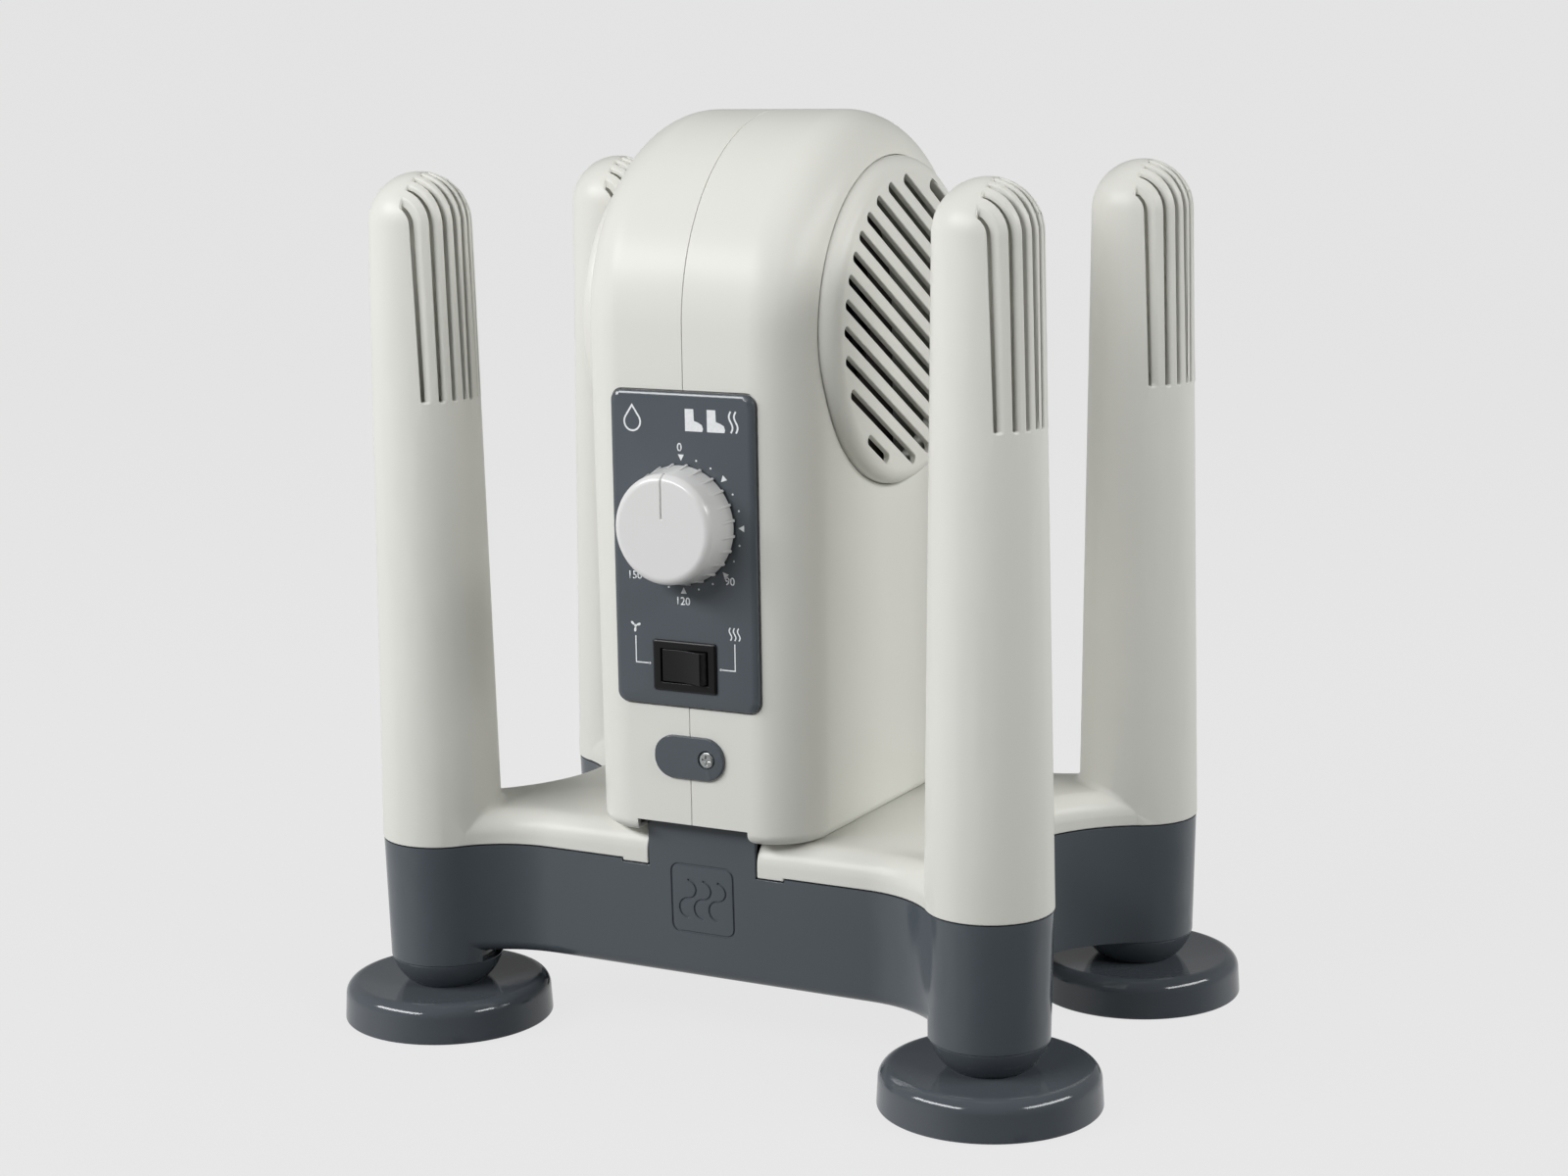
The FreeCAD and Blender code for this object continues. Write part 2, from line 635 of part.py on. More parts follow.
def make_housing_half(side):
    """Half shell of the housing, split on the middle plane, with its bosses and openings."""
    shell = housing_solid(0, HOUSING_Z, HOUSING_FOOT_R).cut(housing_solid(WALL, HOUSING_Z + WALL + 0.5, 0))
    shell = shell.common(side_box(side, HOUSING_SEAM, BIG, -BIG, BIG, 0, BIG))
    tab_cut = TAB_HALF_X + 0.5
    back = HOUSING_Y + HOUSING_HALF_DEPTH
    notch_y = HOUSING_FRONT_Y + 14
    corner_x = tab_cut + NOTCH_R
    corner = side_box(side, tab_cut - 1, corner_x, -BIG, notch_y, 0, HOUSING_Z + NOTCH_R)
    corner = corner.cut(rod_y(side * corner_x, -BIG, BIG, HOUSING_Z + NOTCH_R, NOTCH_R))
    cuts = [
        corner,
        box(-tab_cut, tab_cut, -BIG, notch_y, 0, TAB_Z + 0.4),
        box(-tab_cut, tab_cut, back - 10, BIG, 0, TAB_Z + 0.4),
        box(-DUCT_HALF_X - 1, DUCT_HALF_X + 1, HOUSING_FRONT_Y + 18, back - 14, 0, HOUSING_Z + 6),
        rounded_plate(PANEL_W - 9, PANEL_LOW_Z + 5, PANEL_HIGH_Z - 5, -BIG, HOUSING_Y - 60, 3.0),
        rounded_plate(PANEL_W + 2 * PANEL_GAP, PANEL_LOW_Z - PANEL_GAP, PANEL_HIGH_Z + PANEL_GAP,
                      -BIG, HOUSING_FRONT_Y + PANEL_SINK, PANEL_R + PANEL_GAP),
        rod_y(LOCK_SCREW_X, -BIG, HOUSING_FRONT_Y + 10, LOCK_Z, LOCK_SCREW_R + 0.2),
        rod_y(-LOCK_SCREW_X, -BIG, HOUSING_FRONT_Y + 10, LOCK_Z, LOCK_PEG_R + 0.2),
        rod_y(0, back - 10, BIG, INLET_Z, INLET_R),
    ]
    seat = rod_x(GRILLE_SEAT_X - 0.05, BIG, HOUSING_Y, GRILLE_Z, GRILLE_R + FIT_GAP)
    bore = rod_x(GRILLE_SEAT_X - 10, BIG, HOUSING_Y, GRILLE_Z, GRILLE_BORE_R)
    if side < 0:
        seat = mirrored(seat)
        bore = mirrored(bore)
    cuts += [seat, bore]
    bosses = []
    boss_start = -HOUSING_HALF_LOW + 1 if side < 0 else HOUSING_SEAM
    boss_end = boss_start + HOUSING_HALF_LOW - 1 - HOUSING_SEAM
    for y, z in HOUSING_BOSSES:
        bosses.append(rod_x(boss_start, boss_end, y, z, HOUSING_BOSS_R))
        if side < 0:
            cuts.append(rod_x(-BIG, 0, y, z, HOUSING_SCREW_R + 0.3))
            cuts.append(rod_x(-BIG, HOUSING_SCREW_HEAD_X, y, z, HOUSING_SCREW_HEAD_R + 0.5))
        else:
            cuts.append(rod_x(-1, HOUSING_SCREW_TIP_X + 2, y, z, HOUSING_SCREW_R))
    if side > 0:
        bosses.append(box(LOCK_SCREW_X - 4, LOCK_SCREW_X + 4, HOUSING_FRONT_Y + 1, HOUSING_FRONT_Y + 12,
                          LOCK_Z - 4, LOCK_Z + 4))
    inside = housing_solid(BOSS_SKIN, HOUSING_Z + BOSS_SKIN, 0)
    return join([shell] + [boss.common(inside) for boss in bosses]).cut(cuts)


def mirrored(shape):
    return shape.mirror(Vector(0, 0, 0), Vector(1, 0, 0))


def make_housing_screws():
    """Screws from the left half through the bosses into the right half."""
    screws = []
    length = HOUSING_SCREW_TIP_X - HOUSING_SCREW_HEAD_X
    for y, z in HOUSING_BOSSES:
        shape = screw(length, HOUSING_SCREW_R, HOUSING_SCREW_HEAD_R, 2.4)
        screws.append(placed(shape, Vector(HOUSING_SCREW_HEAD_X, y, z), Vector(1, 0, 0)))
    return Part.makeCompound(screws)


def make_lock_plate():
    """Stadium-shaped plate that ties the two halves together on the front, with a peg and a screw hole."""
    outside = HOUSING_FRONT_Y - LOCK_PROUD
    half = LOCK_W / 2 - LOCK_H / 2
    plate = join([
        box(-half, half, outside, HOUSING_FRONT_Y - 0.05, LOCK_Z - LOCK_H / 2, LOCK_Z + LOCK_H / 2),
        rod_y(-half, outside, HOUSING_FRONT_Y - 0.05, LOCK_Z, LOCK_H / 2),
        rod_y(half, outside, HOUSING_FRONT_Y - 0.05, LOCK_Z, LOCK_H / 2),
    ])
    front_rim = [edge for edge in plate.Edges if all(abs(v.Point.y - outside) < 0.01 for v in edge.Vertexes)]
    plate = plate.makeFillet(0.7, front_rim)
    peg = rod_y(-LOCK_SCREW_X, HOUSING_FRONT_Y - 0.5, HOUSING_FRONT_Y + 5, LOCK_Z, LOCK_PEG_R)
    well = rod_y(LOCK_SCREW_X, -BIG, HOUSING_FRONT_Y - LOCK_SEAT, LOCK_Z, LOCK_WELL_R)
    way = rod_y(LOCK_SCREW_X, -BIG, BIG, LOCK_Z, LOCK_SCREW_R + 0.2)
    return join([plate, peg]).cut([well, way])


def make_lock_screw():
    """Screw in the lock plate's recessed hole."""
    shape = screw(9.0, LOCK_SCREW_R, 3.3, 1.0)
    return placed(shape, Vector(LOCK_SCREW_X, HOUSING_FRONT_Y - LOCK_SEAT, LOCK_Z), Vector(0, 1, 0))


def make_grille(side):
    """Cushion-edged intake disc with tilted slots and a spigot that snaps into the housing bore."""
    rim_x = GRILLE_FACE_X - GRILLE_EDGE_R
    disc = rod_x(GRILLE_SEAT_X, GRILLE_FACE_X, HOUSING_Y, GRILLE_Z, GRILLE_R)
    rim = [edge for edge in disc.Edges if all(abs(v.Point.x - GRILLE_FACE_X) < 0.01 for v in edge.Vertexes)]
    disc = disc.makeFillet(GRILLE_EDGE_R, rim)
    hollow_r = GRILLE_R - GRILLE_EDGE_R - 0.4
    spigot = rod_x(GRILLE_SEAT_X - 4, rim_x, HOUSING_Y, GRILLE_Z, GRILLE_BORE_R - FIT_GAP)
    hollow = rod_x(-BIG, GRILLE_FACE_X - WALL - 0.3, HOUSING_Y, GRILLE_Z, hollow_r - 1.2)
    slots = []
    for index in range(GRILLE_SLOTS):
        offset = (index - (GRILLE_SLOTS - 1) / 2) * GRILLE_PITCH
        reach = math.sqrt(GRILLE_FIELD_R**2 - offset**2)
        slot = box(0, BIG, -reach, reach, offset - GRILLE_SLOT_W / 2, offset + GRILLE_SLOT_W / 2)
        corners = [edge for edge in slot.Edges if abs(edge.tangentAt(edge.FirstParameter).x) > 0.9]
        slot = slot.makeFillet(GRILLE_SLOT_END_R, corners)
        slot.rotate(Vector(0, 0, 0), Vector(1, 0, 0), GRILLE_TILT)
        slot.translate(Vector(0, HOUSING_Y, GRILLE_Z))
        slots.append(slot)
    grille = join([disc, spigot]).cut([hollow] + slots)
    return grille if side > 0 else mirrored(grille)


def make_cord_inlet():
    """Round bush in the back wall where the mains lead passes into the housing."""
    back = HOUSING_Y + HOUSING_HALF_DEPTH
    flange = rod_y(0, back + 0.05, back + 2.5, INLET_Z, INLET_R + 3.0)
    neck = rod_y(0, back - 6.0, back + 0.05, INLET_Z, INLET_R - 0.15)
    nut = rod_y(0, back - 6.0, back - WALL - 0.1, INLET_Z, INLET_R + 2.5)
    return join([flange, neck, nut]).cut(rod_y(0, 0, BIG, INLET_Z, INLET_BORE_R))


# Controls


def make_control_panel():
    """Slate panel with a bevelled rim, set over the opening in the housing."""
    rear = HOUSING_FRONT_Y + PANEL_SINK - 0.05
    plate = rounded_plate(PANEL_W, PANEL_LOW_Z, PANEL_HIGH_Z, PANEL_FACE_Y, rear, PANEL_R)
    rim = [edge for edge in plate.Edges if all(abs(v.Point.y - PANEL_FACE_Y) < 0.01 for v in edge.Vertexes)]
    plate = plate.makeChamfer(PANEL_BEVEL_DEPTH, PANEL_BEVEL_W, rim)
    spigot = rounded_plate(PANEL_W - 10, PANEL_LOW_Z + 5.5, PANEL_HIGH_Z - 5.5,
                           HOUSING_FRONT_Y - 0.1, HOUSING_FRONT_Y + 4, 3.0)
    room = rounded_plate(PANEL_W - 14, PANEL_LOW_Z + 7.5, PANEL_HIGH_Z - 7.5,
                         HOUSING_FRONT_Y, HOUSING_FRONT_Y + 5, 2.0)
    switch_hole = box(-SWITCH_W / 2 + 1.2, SWITCH_W / 2 - 1.2, -BIG, BIG,
                      SWITCH_Z - SWITCH_H / 2 + 1.2, SWITCH_Z + SWITCH_H / 2 - 1.2)
    shaft_hole = rod_y(0, -BIG, 0, DIAL_Z, TIMER_BUSH_R + 0.1)
    return join([plate, spigot.cut(room)]).cut([switch_hole, shaft_hole])


def make_timer_body():
    """Clockwork timer: a square case behind the panel with a threaded bush round its spindle."""
    rear = PANEL_FACE_Y + TIMER_DEPTH
    case_front = HOUSING_FRONT_Y + PANEL_SINK + 0.2
    half = TIMER_CASE_W / 2
    case = rounded_plate(TIMER_CASE_W, DIAL_Z - half, DIAL_Z + half, case_front, rear, 4.0)
    bush = rod_y(0, PANEL_FACE_Y - 0.3, case_front + 1, DIAL_Z, TIMER_BUSH_R)
    bore = rod_y(0, -BIG, case_front + 12, DIAL_Z, TIMER_SHAFT_R + 0.05)
    tags = []
    for x in (-12.0, 12.0):
        tags.append(box(x - TAG_W / 2, x + TAG_W / 2, rear - 0.5, rear + TAG_LENGTH,
                        DIAL_Z - TAG_THICK / 2, DIAL_Z + TAG_THICK / 2))
    return join([case, bush] + tags).cut(bore)


def make_timer_shaft():
    """Spindle of the timer, which the knob is pushed on to."""
    return rod_y(0, PANEL_FACE_Y - KNOB_GAP - KNOB_LENGTH + 3.4, HOUSING_FRONT_Y + 12, DIAL_Z, TIMER_SHAFT_R)


def knob_cap(inset):
    """Front of the knob with its rounded rim, made smaller by inset all round."""
    shoulder = PANEL_FACE_Y - KNOB_GAP - KNOB_LENGTH + KNOB_CAP_H
    front = shoulder - KNOB_CAP_H + inset
    root_r = KNOB_CAP_R + 0.5 - inset
    outwards = Vector(0, -1, 0)
    cap = Part.makeCone(root_r, KNOB_CAP_R - inset, KNOB_CAP_H - inset, Vector(0, shoulder, DIAL_Z), outwards)
    rim = [edge for edge in cap.Edges if all(abs(v.Point.y - front) < 0.01 for v in edge.Vertexes)]
    return cap.makeFillet(KNOB_CAP_EDGE_R - inset, rim)


def make_timer_knob():
    """Round knob with raised ribs on a conical skirt and a soft-edged cap with an engraved pointer."""
    back = PANEL_FACE_Y - KNOB_GAP
    front = back - KNOB_LENGTH
    shoulder = front + KNOB_CAP_H
    root_r = KNOB_SKIRT_R - KNOB_RIB_RISE
    middle_r = KNOB_CAP_R + 0.5
    outwards = Vector(0, -1, 0)
    base = Vector(0, back, DIAL_Z)
    skirt = Part.makeCone(root_r, middle_r, KNOB_LENGTH - KNOB_CAP_H, base, outwards)
    cap = knob_cap(0)
    rib_end = KNOB_CAP_R + 0.6
    rib_cone = Part.makeCone(KNOB_SKIRT_R, rib_end, KNOB_RIB_LENGTH, base, outwards)
    rib_y = back - KNOB_RIB_LENGTH
    rib_z = DIAL_Z + KNOB_CAP_R - 1
    ribs = []
    for index in range(KNOB_RIBS):
        rib = box(-KNOB_RIB_W / 2, KNOB_RIB_W / 2, rib_y, back, rib_z, DIAL_Z + BIG)
        rib.rotate(base, Vector(0, 1, 0), 360.0 * (index + 0.5) / KNOB_RIBS)
        ribs.append(rib.common(rib_cone))
    pointer = box(-POINTER_W / 2, POINTER_W / 2, front - 1, shoulder - 0.1,
                  DIAL_Z + POINTER_LOW, DIAL_Z + BIG)
    pointer = pointer.cut(knob_cap(POINTER_DEPTH))
    room = rod_y(0, front + KNOB_WALL_Y, BIG, DIAL_Z, KNOB_CAP_R - 2.2)
    hub = rod_y(0, front + 1.0, back - 0.3, DIAL_Z, KNOB_HUB_R)
    hub_bore = rod_y(0, front + 3.4, BIG, DIAL_Z, TIMER_SHAFT_R)
    knob = join([skirt, cap] + ribs).cut([pointer, room])
    return join([knob, hub]).cut(hub_bore)


def make_switch_body():
    """Black rocker switch housing with its bezel on the panel face."""
    front = PANEL_FACE_Y - SWITCH_PROUD
    bezel = rounded_plate(SWITCH_W, SWITCH_Z - SWITCH_H / 2, SWITCH_Z + SWITCH_H / 2,
                          front, PANEL_FACE_Y - 0.05, 1.2)
    rim = [edge for edge in bezel.Edges if all(abs(v.Point.y - front) < 0.01 for v in edge.Vertexes)]
    bezel = bezel.makeChamfer(0.5, rim)
    case_x = SWITCH_W / 2 - SWITCH_LIP
    case_z = SWITCH_H / 2 - SWITCH_LIP
    rear = PANEL_FACE_Y + SWITCH_DEPTH
    case = box(-case_x, case_x, PANEL_FACE_Y - 0.1, rear, SWITCH_Z - case_z, SWITCH_Z + case_z)
    well_y = ROCKER_PIVOT_Y + ROCKER_R + 1.0
    well_z = ROCKER_H / 2 + 0.3
    well = box(-ROCKER_R - FIT_GAP, ROCKER_R + FIT_GAP, PANEL_FACE_Y - 0.2, well_y,
               SWITCH_Z - well_z, SWITCH_Z + well_z)
    opening = box(-SWITCH_OPENING_X, SWITCH_OPENING_X, -BIG, PANEL_FACE_Y,
                  SWITCH_Z - well_z, SWITCH_Z + well_z)
    socket_half = ROCKER_H / 2 + ROCKER_PIN_LENGTH + 0.2
    sockets = rod_z(0, ROCKER_PIVOT_Y, SWITCH_Z - socket_half, SWITCH_Z + socket_half, ROCKER_PIN_R + 0.05)
    blades = []
    for x in (-9.0, 0.0, 9.0):
        blades.append(box(x - TAG_THICK / 2, x + TAG_THICK / 2, rear - 0.5, rear + TAG_LENGTH,
                          SWITCH_Z - TAG_W / 2, SWITCH_Z + TAG_W / 2))
    return join([bezel, case] + blades).cut([well, opening, sockets])


def make_rocker_paddle():
    """Rocker with two flats that meet in a shallow valley, at rest with its left end pressed in."""
    pivot = Vector(0, ROCKER_PIVOT_Y, 0)
    drop = math.tan(math.radians(ROCKER_TILT))
    valley_y = PANEL_FACE_Y - SWITCH_PROUD + 0.3
    drum = rod_z(0, ROCKER_PIVOT_Y, SWITCH_Z - ROCKER_H / 2, SWITCH_Z + ROCKER_H / 2, ROCKER_R)
    flats = Part.makePolygon([
        Vector(-BIG, valley_y - BIG * drop, 0),
        Vector(0, valley_y, 0),
        Vector(BIG, valley_y - BIG * drop, 0),
        Vector(BIG, ROCKER_PIVOT_Y + 5.0, 0),
        Vector(-BIG, ROCKER_PIVOT_Y + 5.0, 0),
        Vector(-BIG, valley_y - BIG * drop, 0),
    ])
    paddle = drum.common(Part.Face(flats).extrude(Vector(0, 0, BIG)))
    pin_half = ROCKER_H / 2 + ROCKER_PIN_LENGTH
    pins = rod_z(0, ROCKER_PIVOT_Y, SWITCH_Z - pin_half, SWITCH_Z + pin_half, ROCKER_PIN_R)
    paddle = join([paddle, pins])
    paddle.rotate(pivot, Vector(0, 0, 1), -ROCKER_TILT)
    return paddle


# Blower


def make_scroll():
    """Blower casing: a drum with an inlet on the right and an outlet that turns down at the back."""
    centre = (HOUSING_Y, GRILLE_Z)
    outlet = box(-SCROLL_HALF_X, SCROLL_HALF_X, DUCT_FRONT_Y, DUCT_BACK_Y, DUCT_HIGH_Z + 0.3, GRILLE_Z)
    outer = join([rod_x(-SCROLL_HALF_X, SCROLL_HALF_X, *centre, SCROLL_R), outlet])
    half = SCROLL_HALF_X - SCROLL_WALL
    way_out = box(-half, half, DUCT_FRONT_Y + SCROLL_WALL, DUCT_BACK_Y - SCROLL_WALL,
                  DUCT_HIGH_Z - 1, GRILLE_Z)
    room = rod_x(-half, half, *centre, SCROLL_R - SCROLL_WALL)
    inlet = rod_x(0, SCROLL_HALF_X + 1, *centre, SCROLL_INLET_R)
    motor_hole = rod_x(-SCROLL_HALF_X - 1, 0, *centre, SHAFT_R + 2.0)
    return outer.cut([room, way_out, inlet, motor_hole] + motor_screw_holes())


def make_impeller():
    """Drum fan: a back plate with a hub, a ring of blades and a shroud ring at the eye."""
    centre = (HOUSING_Y, GRILLE_Z)
    plate = rod_x(IMPELLER_LEFT_X, IMPELLER_LEFT_X + 1.6, *centre, IMPELLER_R)
    hub = rod_x(IMPELLER_LEFT_X, IMPELLER_LEFT_X + 14, *centre, SHAFT_R + 4)
    ring = rod_x(IMPELLER_RIGHT_X - 1.6, IMPELLER_RIGHT_X, *centre, IMPELLER_R)
    ring = ring.cut(rod_x(0, BIG, *centre, IMPELLER_EYE_R))
    blades = []
    for index in range(IMPELLER_BLADES):
        blade = box(IMPELLER_LEFT_X, IMPELLER_RIGHT_X, -0.6, 0.6, IMPELLER_EYE_R + 0.5, IMPELLER_R - 0.3)
        blade.rotate(Vector(0, 0, IMPELLER_EYE_R), Vector(1, 0, 0), 32)
        blade.rotate(Vector(0, 0, 0), Vector(1, 0, 0), 360.0 * index / IMPELLER_BLADES)
        blade.translate(Vector(0, *centre))
        blades.append(blade)
    return join([plate, hub, ring] + blades).cut(rod_x(-BIG, BIG, *centre, SHAFT_R))


def make_motor_shaft():
    """Steel shaft with the rotor's seat in the middle and the impeller on its right end."""
    return rod_x(STATOR_LEFT_X - 4.5, IMPELLER_LEFT_X + 16, HOUSING_Y, GRILLE_Z, SHAFT_R)


def make_motor_rotor():
    """Plain rotor drum on the shaft."""
    rotor = rod_x(STATOR_LEFT_X, STATOR_RIGHT_X, HOUSING_Y, GRILLE_Z, ROTOR_R)
    return rotor.cut(rod_x(-BIG, BIG, HOUSING_Y, GRILLE_Z, SHAFT_R))


def make_motor_stator():
    """Square stack of laminations with a round bore and two windows for the windings."""
    stack = box(STATOR_LEFT_X, STATOR_RIGHT_X, HOUSING_Y - STATOR_HALF, HOUSING_Y + STATOR_HALF,
                GRILLE_Z - STATOR_HALF, GRILLE_Z + STATOR_HALF)
    bore = rod_x(-BIG, 0, HOUSING_Y, GRILLE_Z, ROTOR_R + 0.5)
    windows = []
    for side in (-1, 1):
        middle = HOUSING_Y + side * WINDOW_Y
        windows.append(box(-BIG, 0, middle - WINDOW_HALF_Y, middle + WINDOW_HALF_Y,
                           GRILLE_Z - WINDOW_HALF_Z, GRILLE_Z + WINDOW_HALF_Z))
    return stack.cut([bore] + windows + motor_screw_holes())


def make_motor_windings():
    """Two copper coils on the outer legs of the stator."""
    coils = []
    for side in (-1, 1):
        leg = HOUSING_Y + side * COIL_Y
        outer = box(STATOR_LEFT_X - COIL_PROUD, STATOR_RIGHT_X + COIL_PROUD,
                    leg - COIL_HALF_Y, leg + COIL_HALF_Y, GRILLE_Z - COIL_HALF_Z, GRILLE_Z + COIL_HALF_Z)
        outer = fillet_where(outer, 1.5, lambda point: point.x > STATOR_RIGHT_X + COIL_PROUD - 0.1)
        core_y = STATOR_HALF - COIL_Y + 0.1
        core = box(STATOR_LEFT_X - 0.1, STATOR_RIGHT_X + 0.1, leg - core_y, leg + core_y, -BIG, BIG)
        coils.append(outer.cut(core))
    return Part.makeCompound(coils)


def make_motor_brackets():
    """Two bearing bridges, one each side of the rotor, held by the two motor screws."""
    bridges = []
    strap_half = STATOR_HALF - 1.0
    for x in BRACKET_X:
        strap = box(x, x + BRACKET_THICK, HOUSING_Y - BRACKET_HALF_Y, HOUSING_Y + BRACKET_HALF_Y,
                    GRILLE_Z - strap_half, GRILLE_Z + strap_half)
        cup = rod_x(x, x + BEARING_LENGTH, HOUSING_Y, GRILLE_Z, BEARING_R + 2.0)
        seat = rod_x(-BIG, BIG, HOUSING_Y, GRILLE_Z, BEARING_R)
        bridges.append(join([strap, cup]).cut([seat] + motor_screw_holes()))
    return Part.makeCompound(bridges)


def make_motor_bearings():
    """Plain bronze bushes in the two bearing bridges."""
    bushes = []
    for x in BRACKET_X:
        bush = rod_x(x, x + BEARING_LENGTH, HOUSING_Y, GRILLE_Z, BEARING_R)
        bushes.append(bush.cut(rod_x(-BIG, BIG, HOUSING_Y, GRILLE_Z, SHAFT_R + 0.05)))
    return Part.makeCompound(bushes)


def motor_screw_holes():
    """Clearance holes for the two motor screws, along the blower's axis."""
    holes = []
    for z in (GRILLE_Z - MOTOR_SCREW_Z, GRILLE_Z + MOTOR_SCREW_Z):
        holes.append(rod_x(STATOR_LEFT_X - 20, 0, HOUSING_Y, z, MOTOR_SCREW_R))
    return holes


def make_motor_screws():
    """Screws through the stator's top and bottom edges into the blower casing."""
    start = BRACKET_X[0]
    length = SCROLL_WALL - SCROLL_HALF_X - start
    screws = []
    for z in (GRILLE_Z - MOTOR_SCREW_Z, GRILLE_Z + MOTOR_SCREW_Z):
        shape = screw(length, MOTOR_SCREW_R, 2.8, 1.8)
        screws.append(placed(shape, Vector(start, HOUSING_Y, z), Vector(1, 0, 0)))
    return Part.makeCompound(screws)


# Duct and heater


def duct_tube(low_z, high_z, shrink, wall):
    """Square tube round the duct's axis, its outside shrunk from the duct's own and its wall given."""
    outer_x = DUCT_HALF_X - shrink
    inner_x = outer_x - wall
    inset = shrink + wall
    outer = box(-outer_x, outer_x, DUCT_FRONT_Y + shrink, DUCT_BACK_Y - shrink, low_z, high_z)
    return outer.cut(box(-inner_x, inner_x, DUCT_FRONT_Y + inset, DUCT_BACK_Y - inset, 0, BIG))


def make_air_duct():
    """Square duct that leads the air from the blower down into the base."""
    flare = duct_tube(DUCT_LOW_Z, DUCT_LOW_Z + 2.0, -4.0, 6.0)
    return join([duct_tube(DUCT_LOW_Z, DUCT_HIGH_Z, 0, 1.8), flare])


def make_heater_frame():
    """Heat-proof frame that carries the heater inside the duct."""
    return duct_tube(HEATER_LOW_Z - 6, HEATER_HIGH_Z + 6, 2.1, 2.4)


def make_heater_core():
    """Heating block: ceramic bars between aluminium fins."""
    half_x = DUCT_HALF_X - HEATER_GAP
    front = DUCT_FRONT_Y + HEATER_GAP
    back = DUCT_BACK_Y - HEATER_GAP
    half_bar = HEATER_BAR / 2
    bars = []
    for y in (front + half_bar, 0.5 * (front + back), back - half_bar):
        bars.append(box(-half_x, half_x, y - half_bar, y + half_bar, HEATER_LOW_Z, HEATER_HIGH_Z))
    pitch = (2 * half_x - FIN_THICK) / HEATER_FINS
    for index in range(HEATER_FINS + 1):
        x = -half_x + index * pitch
        bars.append(box(x, x + FIN_THICK, front, back, HEATER_LOW_Z, HEATER_HIGH_Z))
    return join(bars)


def make_thermal_cutout():
    """Round bimetal cut-out on the front wall of the duct, above the heater."""
    front = DUCT_FRONT_Y - 8.0
    can = rod_y(0, front, DUCT_FRONT_Y - 0.1, CUTOUT_Z, CUTOUT_R)
    tags = []
    for x in (-4.0, 4.0):
        tags.append(box(x - TAG_W / 2, x + TAG_W / 2, front - TAG_LENGTH, front + 0.5,
                        CUTOUT_Z - TAG_THICK / 2, CUTOUT_Z + TAG_THICK / 2))
    return join([can] + tags)


def make_terminal_block():
    """Three-way terminal block on the inside of the left housing half."""
    wall_x = -HOUSING_HALF_LOW + WALL + 0.4
    block = box(wall_x, wall_x + 12, TERMINAL_WAYS[0] - 6, TERMINAL_WAYS[-1] + 6,
                TERMINAL_LOW_Z, TERMINAL_HIGH_Z)
    wells = [rod_z(wall_x + 6, y, TERMINAL_LOW_Z + 4, BIG, TERMINAL_WAY_R) for y in TERMINAL_WAYS]
    return block.cut(wells)


def build():
    """Every node of the dryer by name."""
    nodes = {
        "base_tray": make_base_tray(),
        "bottom_cover": make_bottom_cover(),
        "tray_screws": make_tray_screws(),
        "foot_screws": make_foot_screws(),
        "left_arm_cover": make_arm_cover(-1),
        "right_arm_cover": make_arm_cover(1),
        "left_housing_half": make_housing_half(-1),
        "right_housing_half": make_housing_half(1),
        "housing_screws": make_housing_screws(),
        "left_intake_grille": make_grille(-1),
        "right_intake_grille": make_grille(1),
        "lock_plate": make_lock_plate(),
        "lock_plate_screw": make_lock_screw(),
        "cord_inlet_bush": make_cord_inlet(),
        "control_panel": make_control_panel(),
        "timer_body": make_timer_body(),
        "timer_shaft": make_timer_shaft(),
        "timer_knob": make_timer_knob(),
        "switch_body": make_switch_body(),
        "rocker_paddle": make_rocker_paddle(),
        "blower_scroll": make_scroll(),
        "fan_impeller": make_impeller(),
        "motor_shaft": make_motor_shaft(),
        "motor_rotor": make_motor_rotor(),
        "motor_stator": make_motor_stator(),
        "motor_windings": make_motor_windings(),
        "motor_brackets": make_motor_brackets(),
        "motor_bearings": make_motor_bearings(),
        "motor_screws": make_motor_screws(),
        "air_duct": make_air_duct(),
        "heater_frame": make_heater_frame(),
        "heater_core": make_heater_core(),
        "thermal_cutout": make_thermal_cutout(),
        "terminal_block": make_terminal_block(),
    }
    for corner in CORNERS:
        nodes["foot_" + corner] = make_foot(corner)
        nodes["foot_pad_" + corner] = make_foot_pad(corner)
    return nodes


def main():
    os.makedirs("parts", exist_ok=True)
    for name, shape in build().items():
        shape.exportStep("parts/" + name + ".step")
        print(name, len(shape.Solids), "solids", "valid" if shape.isValid() else "INVALID")


main()
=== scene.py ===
import json
import math

import bmesh
import bpy
from mathutils import Matrix, Vector
from mathutils.bvhtree import BVHTree


